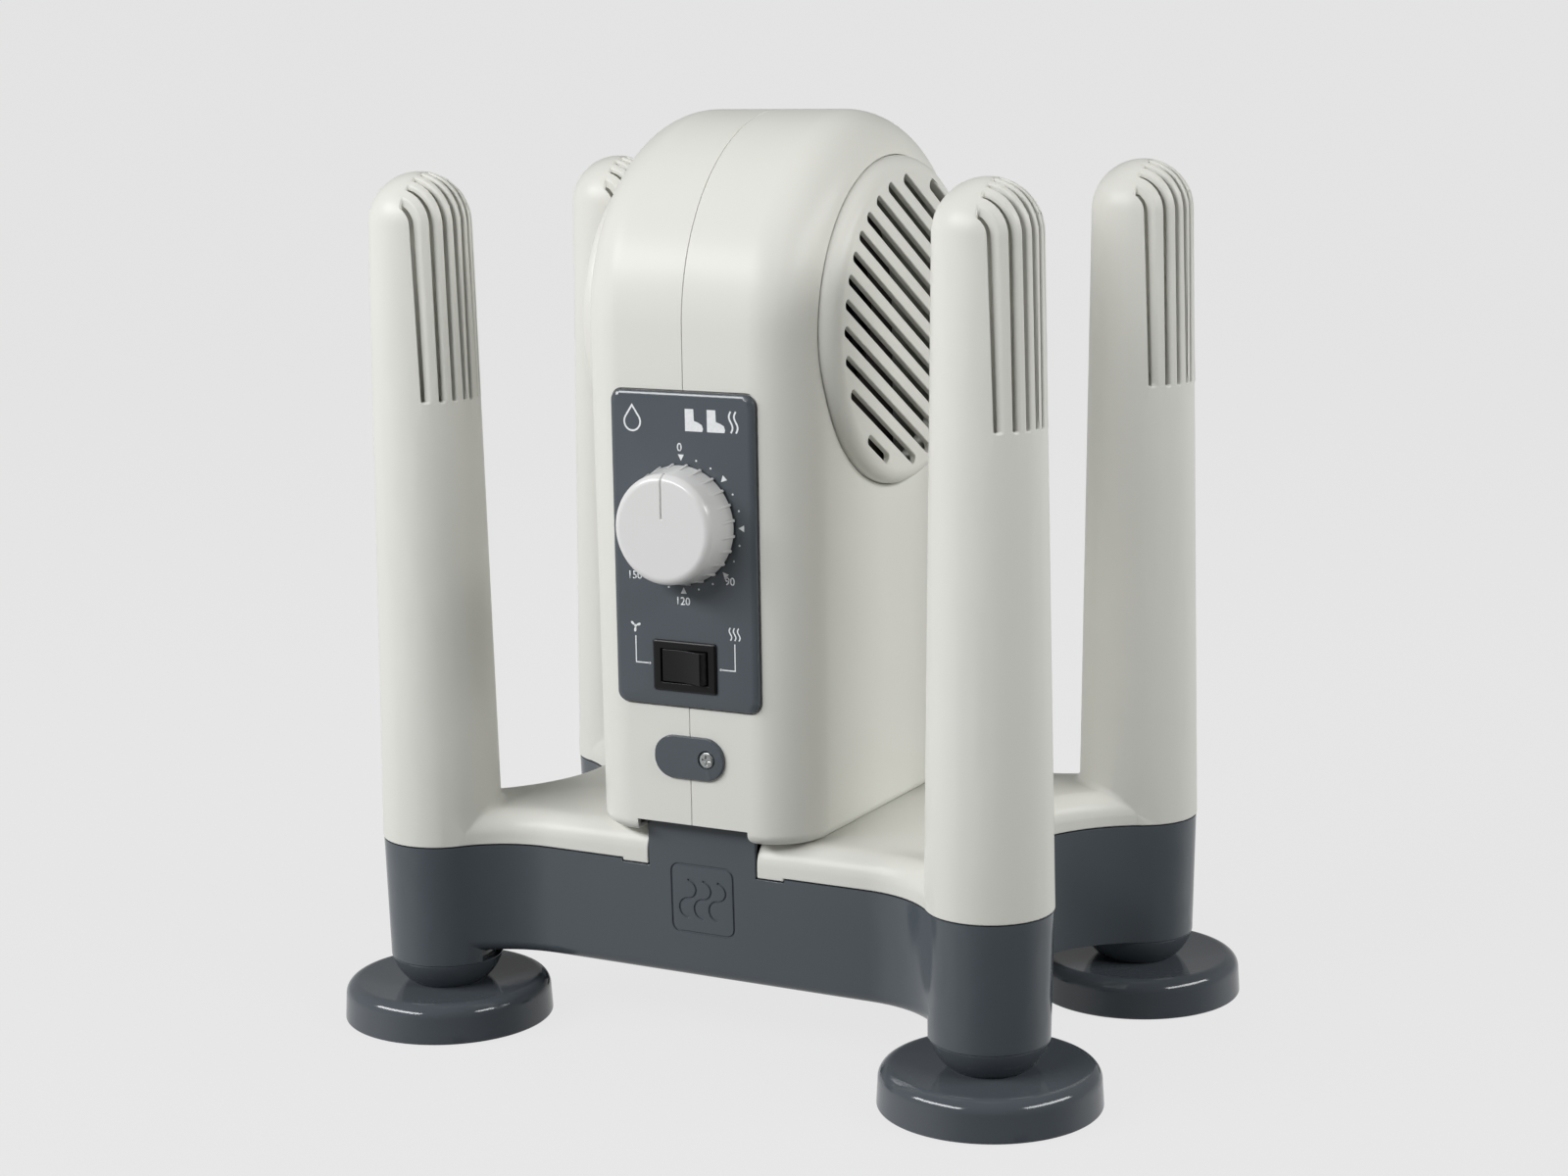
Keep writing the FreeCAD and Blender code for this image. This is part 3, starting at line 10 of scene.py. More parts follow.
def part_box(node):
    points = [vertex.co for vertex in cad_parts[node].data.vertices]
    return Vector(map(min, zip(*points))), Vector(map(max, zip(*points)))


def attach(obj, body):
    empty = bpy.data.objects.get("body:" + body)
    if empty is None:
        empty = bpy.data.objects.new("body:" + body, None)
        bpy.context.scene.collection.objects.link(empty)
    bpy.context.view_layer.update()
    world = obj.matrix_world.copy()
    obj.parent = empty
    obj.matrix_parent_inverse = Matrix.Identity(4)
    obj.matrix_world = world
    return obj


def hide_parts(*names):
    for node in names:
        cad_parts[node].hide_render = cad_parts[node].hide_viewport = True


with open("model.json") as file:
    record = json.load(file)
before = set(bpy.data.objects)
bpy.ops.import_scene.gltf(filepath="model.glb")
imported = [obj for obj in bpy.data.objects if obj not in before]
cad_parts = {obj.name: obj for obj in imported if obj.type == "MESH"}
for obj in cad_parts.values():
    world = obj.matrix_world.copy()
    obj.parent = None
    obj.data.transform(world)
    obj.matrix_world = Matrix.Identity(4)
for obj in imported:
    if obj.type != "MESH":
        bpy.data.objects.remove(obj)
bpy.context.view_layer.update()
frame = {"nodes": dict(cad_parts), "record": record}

# Looks of a four-tube boot dryer. Sizes are in metres, in the frame of the CAD model:
# +X is the user's right seen from the dial, +Y runs to the back and +Z is up.

MM = 0.001

# Camera: its eye point, its azimuth, downward pitch and roll in degrees, and its lens in millimetres.
EYE = Vector((0.5758, -1.0791, 0.4148))
AZIMUTH = 28.2
PITCH = 10.64
ROLL = -0.88
LENS = 66.53

# A CAD mesh is cleaned before it is rounded: points that lie as close as WELD become one, faces
# narrower than SLIVER go, and faces that meet at less than FLAT_ANGLE, in degrees, are merged.
WELD = 2e-6
SLIVER = 0.12 * MM
FLAT_ANGLE = 0.02

# Edges bent by more than SHARP_ANGLE are rounded. Edges bent by more than CREASE_ANGLE stay sharp
# in the shading. Both are in degrees. LARGE_FACE_PULL is how strongly large faces steer the
# shading, where 50 is neutral.
SHARP_ANGLE = 28.0
CREASE_ANGLE = 40.0
LARGE_FACE_PULL = 60

# A point that the rounding leaves further off the CAD surface than this share of its width is a spike.
SPIKE_SHARE = 0.6

# Blowing slots of the tubes: where they start, where the tubes' round ends start, and their soft
# lips. An edge is part of a lip when one of its faces looks away from the tube's axis by LIP_FACING
# or more, where 1 is straight away.
SLOTS_LOW_Z = 0.268
TUBE_END_R = 21.45 * MM
TUBE_DOME_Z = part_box("left_arm_cover")[1][2] - TUBE_END_R
SLOT_LIP_R = 0.90 * MM
SLOT_LIP_STEPS = 4
LIP_FACING = 0.6


# Small helpers


def node_mesh(node):
    """Cleaned copy of a CAD node's mesh, as a bmesh."""
    mesh = bmesh.new()
    mesh.from_mesh(frame["nodes"][node].data)
    bmesh.ops.remove_doubles(mesh, verts=mesh.verts, dist=WELD)
    bmesh.ops.dissolve_degenerate(mesh, dist=SLIVER, edges=mesh.edges)
    flat = math.radians(FLAT_ANGLE)
    bmesh.ops.dissolve_limit(mesh, angle_limit=flat, verts=mesh.verts, edges=mesh.edges)
    return mesh


def new_object(name, mesh, material):
    """Object of that name from a bmesh, with one material."""
    data = bpy.data.meshes.new(name)
    mesh.to_mesh(data)
    mesh.free()
    data.materials.append(material)
    piece = bpy.data.objects.new(name, data)
    bpy.context.scene.collection.objects.link(piece)
    return piece


def smooth(piece):
    """Smooth shading with creases kept sharp, and normals that lie flat on flat faces."""
    crease = math.radians(CREASE_ANGLE)
    data = piece.data
    for polygon in data.polygons:
        polygon.use_smooth = True
    mesh = bmesh.new()
    mesh.from_mesh(data)
    for edge in mesh.edges:
        edge.smooth = edge.is_manifold and edge.calc_face_angle() < crease
    mesh.to_mesh(data)
    mesh.free()
    weighted = piece.modifiers.new("weighted", "WEIGHTED_NORMAL")
    weighted.keep_sharp = True
    weighted.weight = LARGE_FACE_PULL


def sharp_edges(mesh):
    limit = math.radians(SHARP_ANGLE)
    return [edge for edge in mesh.edges if edge.is_manifold and edge.calc_face_angle() > limit]


def round_edges(mesh, edges, width, segments):
    bmesh.ops.bevel(mesh, geom=edges, offset=width, offset_type="OFFSET", segments=segments,
                    profile=0.5, affect="EDGES", clamp_overlap=False)


def drop_spikes(mesh, surface, width):
    """Put back points that the rounding threw further off the surface than a round edge reaches."""
    for vertex in mesh.verts:
        near, _, _, gap = surface.find_nearest(vertex.co)
        if gap > SPIKE_SHARE * width:
            vertex.co = near


def tube_axes():
    """Plan places of the four tubes, which stand over the middles of the feet."""
    places = []
    for corner in ("front_left", "front_right", "back_left", "back_right"):
        low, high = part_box("foot_" + corner)
        places.append(Vector((0.5 * (low[0] + high[0]), 0.5 * (low[1] + high[1]), 0.0)))
    return places


def slot_lips(mesh):
    """Outer edges of the blowing slots, where a tube's skin turns into a slot."""
    axes = tube_axes()
    lips = []
    for edge in sharp_edges(mesh):
        middle = 0.5 * (edge.verts[0].co + edge.verts[1].co)
        if middle.z < SLOTS_LOW_Z:
            continue
        axis = min(axes, key=lambda place: (middle.xy - place.xy).length)
        centre = Vector((axis.x, axis.y, min(middle.z, TUBE_DOME_Z)))
        outwards = (middle - centre).normalized()
        if max(face.normal.dot(outwards) for face in edge.link_faces) > LIP_FACING:
            lips.append(edge)
    return lips


def softened(node, material, slot, width, segments):
    """Moulded copy of a CAD node, with its sharp edges rounded, that stands for the node."""
    mesh = node_mesh(node)
    surface = BVHTree.FromBMesh(mesh)
    if "arm_cover" in node:
        round_edges(mesh, slot_lips(mesh), SLOT_LIP_R, SLOT_LIP_STEPS)
        below_slots = [edge for edge in sharp_edges(mesh) if edge.verts[0].co.z < SLOTS_LOW_Z]
        round_edges(mesh, below_slots, width, segments)
        drop_spikes(mesh, surface, SLOT_LIP_R)
    else:
        round_edges(mesh, sharp_edges(mesh), width, segments)
        drop_spikes(mesh, surface, width)
    piece = new_object(node + "_moulded", mesh, material)
    smooth(piece)
    finish_piece(piece, body_of_node[node], slot, node)


def finish_piece(piece, body, slot, *nodes):
    """Attach a piece to the body it moves with and hide the CAD nodes it stands for. The slot argument is
    not used.
    """
    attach(piece, body)
    if nodes:
        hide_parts(*nodes)


body_of_node = {}
for body, members in frame["record"]["behaviour"]["bodies"].items():
    for member in members:
        body_of_node[member] = body


# Materials


def srgb(red, green, blue):
    """Linear colour from 0 to 255 display values."""
    values = []
    for value in (red, green, blue):
        share = value / 255.0
        values.append(share / 12.92 if share <= 0.04045 else ((share + 0.055) / 1.055) ** 2.4)
    return (*values, 1.0)


class Shader:
    """Node material with a principled shader and a few short ways to feed it."""

    def __init__(self, name, roughness, metallic=0.0, shine=0.5):
        self.material = bpy.data.materials.new(name)
        self.material.use_nodes = True
        self.tree = self.material.node_tree
        self.shader = self.tree.nodes["Principled BSDF"]
        self.shader.inputs["Roughness"].default_value = roughness
        self.shader.inputs["Metallic"].default_value = metallic
        self.shader.inputs["Specular IOR Level"].default_value = shine
        self.place = self.tree.nodes.new("ShaderNodeTexCoord").outputs["Object"]
        self.height = None

    def noise(self, scale, detail=3.0, rough=0.5, stretch=None):
        """Noise over the object, finer along an axis where its stretch is larger."""
        node = self.tree.nodes.new("ShaderNodeTexNoise")
        node.inputs["Scale"].default_value = scale
        node.inputs["Detail"].default_value = detail
        node.inputs["Roughness"].default_value = rough
        place = self.place
        if stretch:
            mapping = self.tree.nodes.new("ShaderNodeMapping")
            mapping.inputs["Scale"].default_value = stretch
            self.tree.links.new(self.place, mapping.inputs["Vector"])
            place = mapping.outputs["Vector"]
        self.tree.links.new(place, node.inputs["Vector"])
        return node.outputs["Fac"]

    def ramp(self, value, low, high, low_to=0.0, high_to=1.0):
        """Value between low and high, spread out to between low_to and high_to."""
        node = self.tree.nodes.new("ShaderNodeMapRange")
        node.inputs["From Min"].default_value = low
        node.inputs["From Max"].default_value = high
        node.inputs["To Min"].default_value = low_to
        node.inputs["To Max"].default_value = high_to
        self.tree.links.new(value, node.inputs["Value"])
        return node.outputs["Result"]

    def two_colours(self, share, first, second):
        """Surface colour that drifts from the first to the second colour with share."""
        node = self.tree.nodes.new("ShaderNodeMix")
        node.data_type = "RGBA"
        self.tree.links.new(share, node.inputs["Factor"])
        node.inputs["A"].default_value = first
        node.inputs["B"].default_value = second
        self.feed("Base Color", node.outputs["Result"])

    def feed(self, socket, value):
        self.tree.links.new(value, self.shader.inputs[socket])

    def bump(self, value, depth):
        """Surface relief of the given depth in metres, on top of any earlier one."""
        node = self.tree.nodes.new("ShaderNodeBump")
        node.inputs["Distance"].default_value = depth
        node.inputs["Strength"].default_value = 1.0
        self.tree.links.new(value, node.inputs["Height"])
        if self.height:
            self.tree.links.new(self.height, node.inputs["Normal"])
        self.height = node.outputs["Normal"]
        self.tree.links.new(self.height, self.shader.inputs["Normal"])


# Depths of relief that are the same on every moulded, rubber or printed surface.
MOULD_WAVE = 0.04 * MM
RUBBER_GRAIN = 0.02 * MM
INK_GRAIN = 0.004 * MM

# Shiniest and dullest roughness of rubber and ink, and how far a metal's goes to either side.
RUBBER_ROUGHNESS = (0.62, 0.82)
INK_ROUGHNESS = (0.42, 0.58)
METAL_SHINIER = 0.08
METAL_DULLER = 0.1


def moulded(name, colour, shade, roughness, gloss_spread, grain, shine=0.5):
    """Injection moulded plastic: a faint drift of colour, hazed gloss, shrinkage and a fine skin."""
    paint = Shader(name, roughness, shine=shine)
    paint.two_colours(paint.ramp(paint.noise(scale=9.0, detail=4.0), 0.3, 0.7), colour, shade)
    dull = paint.noise(scale=38.0, detail=5.0, rough=0.6)
    haze = paint.ramp(dull, 0.25, 0.75, roughness - gloss_spread, roughness + gloss_spread)
    paint.feed("Roughness", haze)
    paint.bump(paint.noise(scale=60.0, detail=2.0), MOULD_WAVE)
    paint.bump(paint.noise(scale=2600.0, detail=2.0), grain)
    return paint


def metal(name, colour, roughness, grain, stretch=None, tint=None):
    """Bare or plated metal with fine marks, and with patches of another tint where one is given."""
    paint = Shader(name, roughness, metallic=1.0)
    if tint:
        patches = paint.noise(scale=120.0, detail=4.0)
        paint.two_colours(paint.ramp(patches, 0.35, 0.7), colour, tint)
    else:
        paint.shader.inputs["Base Color"].default_value = colour
    lines = paint.noise(scale=900.0, rough=0.6, stretch=stretch)
    shiniest = roughness - METAL_SHINIER
    dullest = roughness + METAL_DULLER
    paint.feed("Roughness", paint.ramp(lines, 0.3, 0.7, shiniest, dullest))
    paint.bump(lines, grain)
    return paint


def rubbery(name, colour, shade):
    """Matt rubber with a dusty bloom and a fine skin."""
    shiniest, dullest = RUBBER_ROUGHNESS
    paint = Shader(name, dullest)
    bloom = paint.noise(scale=60.0, detail=5.0)
    paint.two_colours(paint.ramp(bloom, 0.35, 0.7), colour, shade)
    paint.feed("Roughness", paint.ramp(paint.noise(scale=400.0), 0.3, 0.7, shiniest, dullest))
    paint.bump(paint.noise(scale=1800.0), RUBBER_GRAIN)
    return paint


def print_ink(name, colour, shade):
    """Pad-printed ink: slightly uneven cover and a dry surface."""
    shiniest, dullest = INK_ROUGHNESS
    paint = Shader(name, dullest)
    cover = paint.noise(scale=700.0, detail=4.0)
    paint.two_colours(paint.ramp(cover, 0.35, 0.75), colour, shade)
    dull = paint.noise(scale=900.0, detail=2.0)
    paint.feed("Roughness", paint.ramp(dull, 0.3, 0.7, shiniest, dullest))
    paint.bump(paint.noise(scale=2500.0, detail=2.0), INK_GRAIN)
    return paint


# How a metal's marks run: a small number draws them out along that axis, a large one packs them.
GROUND = (0.1, 6.0, 6.0)
STACKED = (12.0, 0.3, 0.3)
WOUND = (0.2, 3.0, 3.0)
EXTRUDED = (6.0, 0.4, 0.4)


material_of_slot = {
    "housing_white": moulded("housing_white_plastic", srgb(228, 228, 222), srgb(225, 225, 218),
                             roughness=0.30, gloss_spread=0.005, grain=0.002 * MM, shine=0.14),
    "arm_white": moulded("arm_white_plastic", srgb(227, 227, 221), srgb(223, 223, 216),
                         roughness=0.36, gloss_spread=0.015, grain=0.006 * MM, shine=0.25),
    "slate_plastic": moulded("slate_plastic", srgb(84, 91, 97), srgb(79, 86, 92),
                             roughness=0.16, gloss_spread=0.03, grain=0.002 * MM),
    "foot_slate": moulded("foot_slate_plastic", srgb(84, 90, 96), srgb(79, 85, 91),
                          roughness=0.09, gloss_spread=0.02, grain=0.0005 * MM),
    "knob_white": moulded("knob_white_plastic", srgb(230, 231, 230), srgb(226, 226, 224),
                          roughness=0.22, gloss_spread=0.03, grain=0.001 * MM),
    "switch_black": moulded("switch_black_plastic", srgb(18, 18, 20), srgb(14, 14, 16),
                            roughness=0.34, gloss_spread=0.05, grain=0.006 * MM, shine=0.35),
    "timer_plastic": moulded("natural_nylon", srgb(214, 210, 196), srgb(204, 199, 184),
                             roughness=0.48, gloss_spread=0.06, grain=0.01 * MM),
    "fan_plastic": moulded("black_fan_plastic", srgb(30, 30, 32), srgb(24, 24, 26),
                           roughness=0.42, gloss_spread=0.06, grain=0.01 * MM),
    "heater_nylon": moulded("heat_proof_plastic", srgb(52, 48, 45), srgb(44, 41, 38),
                            roughness=0.5, gloss_spread=0.06, grain=0.015 * MM),
    "pad_rubber": rubbery("soft_pad_rubber", srgb(46, 46, 47), srgb(38, 38, 39)),
    "zinc_screw": metal("zinc_plate", srgb(205, 207, 206), roughness=0.28, grain=0.004 * MM,
                        tint=srgb(188, 192, 192)),
    "shaft_steel": metal("ground_steel", srgb(190, 190, 192), roughness=0.24, grain=0.004 * MM,
                         stretch=GROUND),
    "motor_steel": metal("stacked_steel_sheet", srgb(120, 122, 126), roughness=0.42,
                         grain=0.02 * MM, stretch=STACKED, tint=srgb(104, 106, 110)),
    "winding_copper": metal("enamelled_copper", srgb(190, 112, 60), roughness=0.3,
                            grain=0.05 * MM, stretch=WOUND, tint=srgb(164, 88, 42)),
    "bearing_bronze": metal("sintered_bronze", srgb(170, 134, 82), roughness=0.45,
                            grain=0.02 * MM, tint=srgb(150, 116, 70)),
    "heater_aluminium": metal("bare_aluminium", srgb(212, 213, 216), roughness=0.34,
                              grain=0.006 * MM, stretch=EXTRUDED),
}


# Moulded pieces with rounded edges, each in place of its CAD node


# Width of the rounding in millimetres and the number of steps across it.
rounded = {
    "left_housing_half": (0.30, 2),
    "right_housing_half": (0.30, 2),
    "left_intake_grille": (0.50, 3),
    "right_intake_grille": (0.50, 3),
    "left_arm_cover": (0.60, 3),
    "right_arm_cover": (0.60, 3),
    "base_tray": (0.30, 2),
    "control_panel": (0.45, 3),
    "lock_plate": (0.20, 2),
    "lock_plate_screw": (0.12, 2),
    "switch_body": (0.25, 2),
    "rocker_paddle": (0.35, 3),
    "timer_knob": (0.25, 2),
    "cord_inlet_bush": (0.40, 2),
    "foot_front_left": (0.30, 2),
    "foot_front_right": (0.30, 2),
    "foot_back_left": (0.30, 2),
    "foot_back_right": (0.30, 2),
}
slot_of_node = {part["node"]: part["material_slot"] for part in frame["record"]["subparts"]}
for node, slot in slot_of_node.items():
    paint = material_of_slot[slot].material
    if node in rounded:
        width, segments = rounded[node]
        softened(node, paint, slot, width * MM, segments)
    else:
        for holder in frame["nodes"][node].material_slots:
            holder.material = paint


# Print on the control panel


# The ink lies on the panel's front face. The places and sizes below are in millimetres, x to the
# right and z up.
INK_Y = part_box("control_panel")[0][1]
INK_DEPTH = 0.03 * MM

# Dial: the height of its centre, the circle of its marks, the degrees between them, the wedge at
# every third mark and the dots between.
DIAL_Z = 226.5
MARK_R = 26.9
MARK_COUNT = 19
MARK_STEP = 15.0
MARKS_PER_WEDGE = 3
WEDGE_HALF_LENGTH = 1.3
WEDGE_HALF_WIDTH = 1.35
DOT_R = 0.42

# Figures at the dial: text, place and height. FIGURE_WEIGHT thickens their strokes.
FIGURES = (
    ("0", -0.6, 257.6, 3.4),
    ("90", 21.3, 204.8, 3.3),
    ("120", -0.5, 195.2, 3.3),
    ("150", -22.7, 204.4, 3.3),
)
FIGURE_WEIGHT = 0.012

# Leader lines: each runs from under a sign down to a corner and across to a dot beside the
# switch. LEADER_ENDS gives the side and how far from the middle the dot is.
SIGN_X = 23.0
LEADER_Z = 168.4
LEADER_TOP_Z = 179.4
LEADER_W = 0.5
LEADER_END_R = 0.5
LEADER_ENDS = ((-1, 16.6), (1, 16.4))

# Fan sign on the left, whose blades each span BLADE_SWEEP radians, and warm air sign on the right,
# of three rising waves.
SIGN_Z = 183.4
BLADES = 3
BLADE_R = 2.6
BLADE_ROOT_R = 0.5
BLADE_SWEEP = 0.9
BLADE_STEPS = 12
BLADE_START = 0.1
BLADE_FULLNESS = 0.6
HUB_R = 0.6
WARM_OFFSETS = (-1.9, 0.0, 1.9)
WARM_HEIGHT = 5.2
WARM_SWAY = 0.55
WARM_W = 0.55

# Drop at the top left: a tip over a part circle that starts at DROP_FROM degrees and runs
# clockwise by DROP_TURN. SIGN_W is the width of its line and of the air beside the boots.
DROP_X = -22.2
DROP_Z = 267.0
DROP_R = 3.7
DROP_TIP = 6.6
DROP_FROM = 35.0
DROP_TURN = 250.0
DROP_STEPS = 24
SIGN_W = 0.75

# Pair of boots at the top right, with rising air beside them. The outline starts at the heel.
BOOT_PLACES = (2.2, 12.2)
BOOT_Z = 264.2
BOOT_OUTLINE = (
    (0.0, 0.0),
    (7.9, 0.0),
    (8.2, 1.2),
    (7.7, 2.7),
    (6.0, 3.6),
    (4.1, 4.2),
    (3.9, 8.9),
    (0.0, 8.9),
)
AIR_OFFSETS = (0.0, 2.3)
AIR_Z = 268.6
AIR_HEIGHT = 8.6
AIR_SWAY = 0.8


# Steps round a disc and along a wavy line. A stroke's corner runs out no further than
# 1 / LEAST_MITRE times half its width.
DISC_STEPS = 20
WAVE_STEPS = 16
LEAST_MITRE = 0.5


class Ink:
    """Flat white shapes on the panel, given as (x, z) points in millimetres."""

    def __init__(self):
        self.mesh = bmesh.new()

    def patch(self, points):
        """Filled outline with a thin edge, like a layer of ink."""
        front = [self.mesh.verts.new((x * MM, INK_Y - INK_DEPTH, z * MM)) for x, z in points]
        rear = [self.mesh.verts.new((x * MM, INK_Y + INK_DEPTH, z * MM)) for x, z in points]
        self.mesh.faces.new(front)
        self.mesh.faces.new(list(reversed(rear)))
        for place in range(len(points)):
            after = (place + 1) % len(points)
            self.mesh.faces.new((front[after], front[place], rear[place], rear[after]))

    def disc(self, x, z, radius):
        turns = [2.0 * math.pi * step / DISC_STEPS for step in range(DISC_STEPS)]
        self.patch([(x + radius * math.cos(turn), z + radius * math.sin(turn)) for turn in turns])

    def stroke(self, points, width, closed=False):
        """Line of even width through the points."""
        count = len(points)
        left = []
        right = []
        for place, (x, z) in enumerate(points):
            before = points[(place - 1) % count] if closed or place else points[place]
            after = points[(place + 1) % count] if closed or place < count - 1 else points[place]
            arrive = Vector((x - before[0], z - before[1]))
            leave = Vector((after[0] - x, after[1] - z))
            arrive = arrive.normalized() if arrive.length else leave.normalized()
            leave = leave.normalized() if leave.length else arrive
            side = Vector((-(arrive + leave).y, (arrive + leave).x)).normalized()
            reach = 0.5 * width / max(LEAST_MITRE, side.dot(Vector((-leave.y, leave.x))))
            left.append((x + side.x * reach, z + side.y * reach))
            right.append((x - side.x * reach, z - side.y * reach))
        spans = range(count if closed else count - 1)
        for place in spans:
            after = (place + 1) % count
            self.patch([left[place], right[place], right[after], left[after]])

    def number(self, text, x, z, height):
        """Figures centred on (x, z)."""
        curve = bpy.data.curves.new("figures", "FONT")
        curve.body = text
        curve.offset = FIGURE_WEIGHT
        curve.align_x = "CENTER"
        curve.align_y = "CENTER"
        holder = bpy.data.objects.new("figures", curve)
        flat = bpy.data.meshes.new_from_object(holder)
        bpy.data.objects.remove(holder)
        bpy.data.curves.remove(curve)
        glyphs = bmesh.new()
        glyphs.from_mesh(flat)
        bpy.data.meshes.remove(flat)
        low = min(vertex.co.y for vertex in glyphs.verts)
        high = max(vertex.co.y for vertex in glyphs.verts)
        scale = height / (high - low)
        middle = 0.5 * (low + high)
        raised = bmesh.ops.extrude_face_region(glyphs, geom=list(glyphs.faces))
        lifted = {item for item in raised["geom"] if isinstance(item, bmesh.types.BMVert)}
        for vertex in glyphs.verts:
            across = (x + vertex.co.x * scale) * MM
            up = (z + (vertex.co.y - middle) * scale) * MM
            vertex.co = Vector((across, INK_Y - INK_DEPTH if vertex in lifted else INK_Y + INK_DEPTH, up))
        bmesh.ops.recalc_face_normals(glyphs, faces=glyphs.faces)
        sheet = bpy.data.meshes.new("figures")
        glyphs.to_mesh(sheet)
        glyphs.free()
        self.mesh.from_mesh(sheet)
        bpy.data.meshes.remove(sheet)


def around_dial(radius, degrees):
    """Point at a clockwise angle from the top of the dial."""
    angle = math.radians(degrees)
    return radius * math.sin(angle), DIAL_Z + radius * math.cos(angle)


def wave(x, z, height, sway):
    """Rising S-shaped line of warm air."""
    points = []
    for step in range(WAVE_STEPS + 1):
        share = step / WAVE_STEPS
        points.append((x + sway * math.sin(2.0 * math.pi * share), z + height * (share - 0.5)))
    return points


def print_dial(ink):
    """Wedges and dots round the dial, and its figures."""
    for index in range(MARK_COUNT):
        degrees = MARK_STEP * index
        if index % MARKS_PER_WEDGE == 0:
            angle = math.radians(degrees)
            corners = []
            for swing in (-1, 1):
                x, z = around_dial(MARK_R + WEDGE_HALF_LENGTH, degrees)
                half_width = swing * WEDGE_HALF_WIDTH
                corners.append((x + half_width * math.cos(angle), z - half_width * math.sin(angle)))
            ink.patch([around_dial(MARK_R - WEDGE_HALF_LENGTH, degrees), corners[0], corners[1]])
        else:
            ink.disc(*around_dial(MARK_R, degrees), DOT_R)
    for text, x, z, height in FIGURES:
        ink.number(text, x, z, height)


def print_switch(ink):
    """Leader lines from the two ends of the rocker to a fan sign and a warm air sign."""
    for side, reach in LEADER_ENDS:
        corner_x = side * SIGN_X
        end_x = side * reach
        ink.stroke([(corner_x, LEADER_TOP_Z), (corner_x, LEADER_Z), (end_x, LEADER_Z)], LEADER_W)
        ink.disc(end_x, LEADER_Z, LEADER_END_R)
    for blade in range(BLADES):
        turn = 2.0 * math.pi * blade / BLADES
        points = []
        for step in range(BLADE_STEPS + 1):
            share = step / BLADE_STEPS
            swing = turn + BLADE_SWEEP * share
            reach = BLADE_ROOT_R
            if 0 < share < 1:
                along = min(1.0, BLADE_START + share * (1.0 - BLADE_START))
                reach = BLADE_R * math.sin(math.pi * along) ** BLADE_FULLNESS
            points.append((-SIGN_X + reach * math.cos(swing), SIGN_Z + reach * math.sin(swing)))
        ink.patch(points)
    ink.disc(-SIGN_X, SIGN_Z, HUB_R)
    for offset in WARM_OFFSETS:
        ink.stroke(wave(SIGN_X + offset, SIGN_Z, WARM_HEIGHT, WARM_SWAY), WARM_W)


def print_signs(ink):
    """A drop at the top left, and a pair of boots in warm air at the top right."""
    drop = [(DROP_X, DROP_Z + DROP_TIP)]
    for step in range(DROP_STEPS + 1):
        angle = math.radians(DROP_FROM - DROP_TURN * step / DROP_STEPS)
        drop.append((DROP_X + DROP_R * math.cos(angle), DROP_Z + DROP_R * math.sin(angle)))
    ink.stroke(drop, SIGN_W, closed=True)
    for boot_x in BOOT_PLACES:
        ink.patch([(boot_x + x, BOOT_Z + z) for x, z in BOOT_OUTLINE])
    for offset in AIR_OFFSETS:
        ink.stroke(wave(SIGN_X + offset, AIR_Z, AIR_HEIGHT, AIR_SWAY), SIGN_W)


ink = Ink()
print_dial(ink)
print_switch(ink)
print_signs(ink)
bmesh.ops.recalc_face_normals(ink.mesh, faces=ink.mesh.faces)
ink_paint = print_ink("white_ink", srgb(240, 242, 243), srgb(228, 231, 233))
panel_print = new_object("panel_print", ink.mesh, ink_paint.material)
finish_piece(panel_print, "dryer", "knob_white")


# Setting


# Round floor with a cove and a wall. It glows by itself, evenly, and is seen by the camera alone.
INNER_R = 0.8
FLOOR_R = 3.2
COVE_R = 1.6
COVE_STEPS = 16
WALL_Z = 3.4
BACKDROP_TURNS = 96
PAPER = (0.04, 0.04, 0.04, 1.0)
PAPER_GLOW = 0.765

# Soft lights: azimuth from the front and height over the floor in degrees, distance, width and
# height in metres, power in watts and colour. They are aimed at LIGHT_AIM.
LIGHT_AIM = Vector((0.0, 0.0, 0.18))
LIGHTS = {
    "key_left": (-33.0, 31.0, 2.0, 1.9, 0.42, 36.5, (0.99, 0.99, 1.0)),
    "key_right": (90.0, 31.0, 2.0, 1.8, 0.42, 25.5, (1.0, 1.0, 0.99)),
}

# Light from the studio air. It is WORLD_LOW up to BELOW_PLACE, WORLD_LEVEL at LEVEL_PLACE and
# WORLD_HIGH overhead. A place runs from 0 straight below to 1 straight above.
BELOW_PLACE = 0.45
WORLD_LOW = 0.62
LEVEL_PLACE = 0.55
WORLD_LEVEL = 0.36
WORLD_HIGH = 0.02

# Darker side of the air: its azimuth in degrees, how much light is left in its middle, and the
# cosines of the angle off that direction between which it fades.
DARK_SIDE = 45.0
DARK_SHARE = 0.10
DARK_OUTER = -0.1
DARK_INNER = 0.85


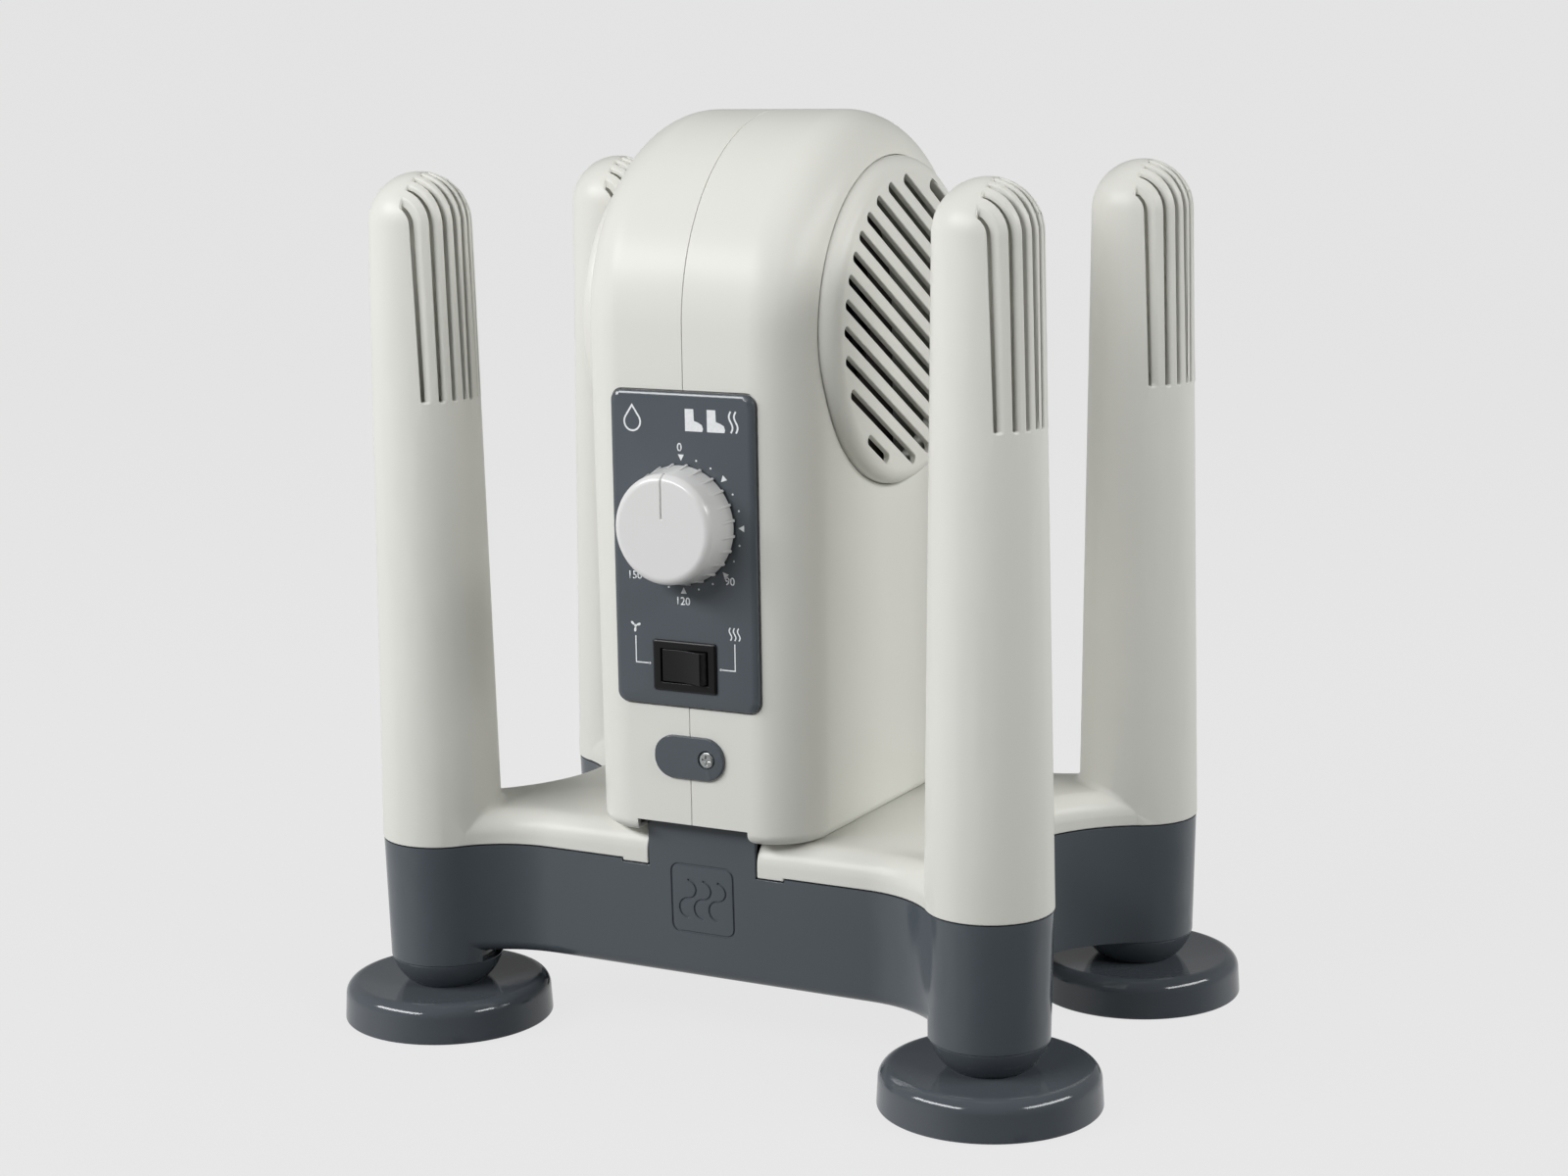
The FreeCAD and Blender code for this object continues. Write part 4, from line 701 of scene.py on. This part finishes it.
def make_backdrop():
    """Pale round floor that curves up into a wall, the same seen from every side."""
    profile = [(0.0, 0.0), (INNER_R, 0.0), (FLOOR_R, 0.0)]
    for step in range(1, COVE_STEPS + 1):
        angle = 0.5 * math.pi * step / COVE_STEPS
        profile.append((FLOOR_R + COVE_R * math.sin(angle), COVE_R * (1.0 - math.cos(angle))))
    profile.append((FLOOR_R + COVE_R, WALL_Z))
    mesh = bmesh.new()
    rings = []
    for radius, z in profile:
        ring = []
        for turn in range(BACKDROP_TURNS):
            angle = 2.0 * math.pi * turn / BACKDROP_TURNS
            ring.append(mesh.verts.new((radius * math.cos(angle), radius * math.sin(angle), z)))
        rings.append(ring)
    for low, high in zip(rings, rings[1:]):
        for turn in range(BACKDROP_TURNS):
            after = (turn + 1) % BACKDROP_TURNS
            mesh.faces.new((low[turn], low[after], high[after], high[turn]))
    bmesh.ops.remove_doubles(mesh, verts=mesh.verts, dist=WELD)
    bmesh.ops.recalc_face_normals(mesh, faces=mesh.faces)
    paint = Shader("pale_paper", 1.0, shine=0.0)
    paint.shader.inputs["Base Color"].default_value = PAPER
    paint.shader.inputs["Emission Color"].default_value = (1.0, 1.0, 1.0, 1.0)
    paint.shader.inputs["Emission Strength"].default_value = PAPER_GLOW
    backdrop = new_object("backdrop", mesh, paint.material)
    for polygon in backdrop.data.polygons:
        polygon.use_smooth = True
    backdrop.visible_diffuse = False
    backdrop.visible_shadow = False
    backdrop.visible_glossy = False


def make_softbox(name, azimuth, elevation, distance, width, height, power, colour):
    """Rectangular soft light that the camera doesn't see, aimed at the middle of the object."""
    turn = math.radians(azimuth)
    rise = math.radians(elevation)
    away = Vector((math.sin(turn) * math.cos(rise), -math.cos(turn) * math.cos(rise), math.sin(rise)))
    place = LIGHT_AIM + distance * away
    data = bpy.data.lights.new(name, "AREA")
    data.shape = "RECTANGLE"
    data.size = width
    data.size_y = height
    data.energy = power
    data.color = colour
    light = bpy.data.objects.new(name, data)
    light.location = place
    light.rotation_euler = (LIGHT_AIM - place).to_track_quat("-Z", "Y").to_euler()
    light.visible_camera = False
    bpy.context.scene.collection.objects.link(light)


def make_camera():
    """Camera at EYE, turned by the azimuth, then tilted down and leant about its own axis."""
    turn = math.radians(AZIMUTH)
    tilt = math.radians(PITCH)
    lean = math.radians(ROLL)
    ahead = Vector((-math.sin(turn) * math.cos(tilt), math.cos(turn) * math.cos(tilt), -math.sin(tilt)))
    level = Vector((math.cos(turn), math.sin(turn), 0.0))
    upright = level.cross(ahead)
    right = level * math.cos(lean) + upright * math.sin(lean)
    up = upright * math.cos(lean) - level * math.sin(lean)
    data = bpy.data.cameras.new("camera")
    data.lens = LENS
    camera = bpy.data.objects.new("camera", data)
    axes = Matrix((right, up, -ahead)).transposed()
    camera.matrix_world = Matrix.Translation(EYE) @ axes.to_4x4()
    bpy.context.scene.collection.objects.link(camera)
    bpy.context.scene.camera = camera


def make_world():
    """Studio air: bright by the floor, dim overhead, and darker on the front right side."""
    world = bpy.data.worlds.new("studio")
    world.use_nodes = True
    tree = world.node_tree
    direction = tree.nodes.new("ShaderNodeTexCoord").outputs["Generated"]
    parts = tree.nodes.new("ShaderNodeSeparateXYZ")
    tree.links.new(direction, parts.inputs["Vector"])
    height = tree.nodes.new("ShaderNodeValToRGB")
    low, high = height.color_ramp.elements
    low.position = BELOW_PLACE
    low.color = (WORLD_LOW, WORLD_LOW, WORLD_LOW, 1.0)
    high.position = 1.0
    high.color = (WORLD_HIGH, WORLD_HIGH, WORLD_HIGH, 1.0)
    level = height.color_ramp.elements.new(LEVEL_PLACE)
    level.color = (WORLD_LEVEL, WORLD_LEVEL, WORLD_LEVEL, 1.0)
    rise = tree.nodes.new("ShaderNodeMapRange")
    rise.inputs["From Min"].default_value = -1.0
    tree.links.new(parts.outputs["Z"], rise.inputs["Value"])
    tree.links.new(rise.outputs["Result"], height.inputs["Fac"])
    turn = math.radians(DARK_SIDE)
    facing = tree.nodes.new("ShaderNodeVectorMath")
    facing.operation = "DOT_PRODUCT"
    facing.inputs[1].default_value = (math.sin(turn), -math.cos(turn), 0.0)
    tree.links.new(direction, facing.inputs[0])
    dark = tree.nodes.new("ShaderNodeMapRange")
    dark.interpolation_type = "SMOOTHSTEP"
    dark.inputs["From Min"].default_value = DARK_OUTER
    dark.inputs["From Max"].default_value = DARK_INNER
    dark.inputs["To Min"].default_value = 1.0
    dark.inputs["To Max"].default_value = DARK_SHARE
    tree.links.new(facing.outputs["Value"], dark.inputs["Value"])
    tree.links.new(height.outputs["Color"], tree.nodes["Background"].inputs["Color"])
    tree.links.new(dark.outputs["Result"], tree.nodes["Background"].inputs["Strength"])
    bpy.context.scene.world = world
    bpy.context.scene.view_settings.view_transform = "Standard"


make_backdrop()
for name, values in LIGHTS.items():
    make_softbox(name, *values)
make_camera()
make_world()
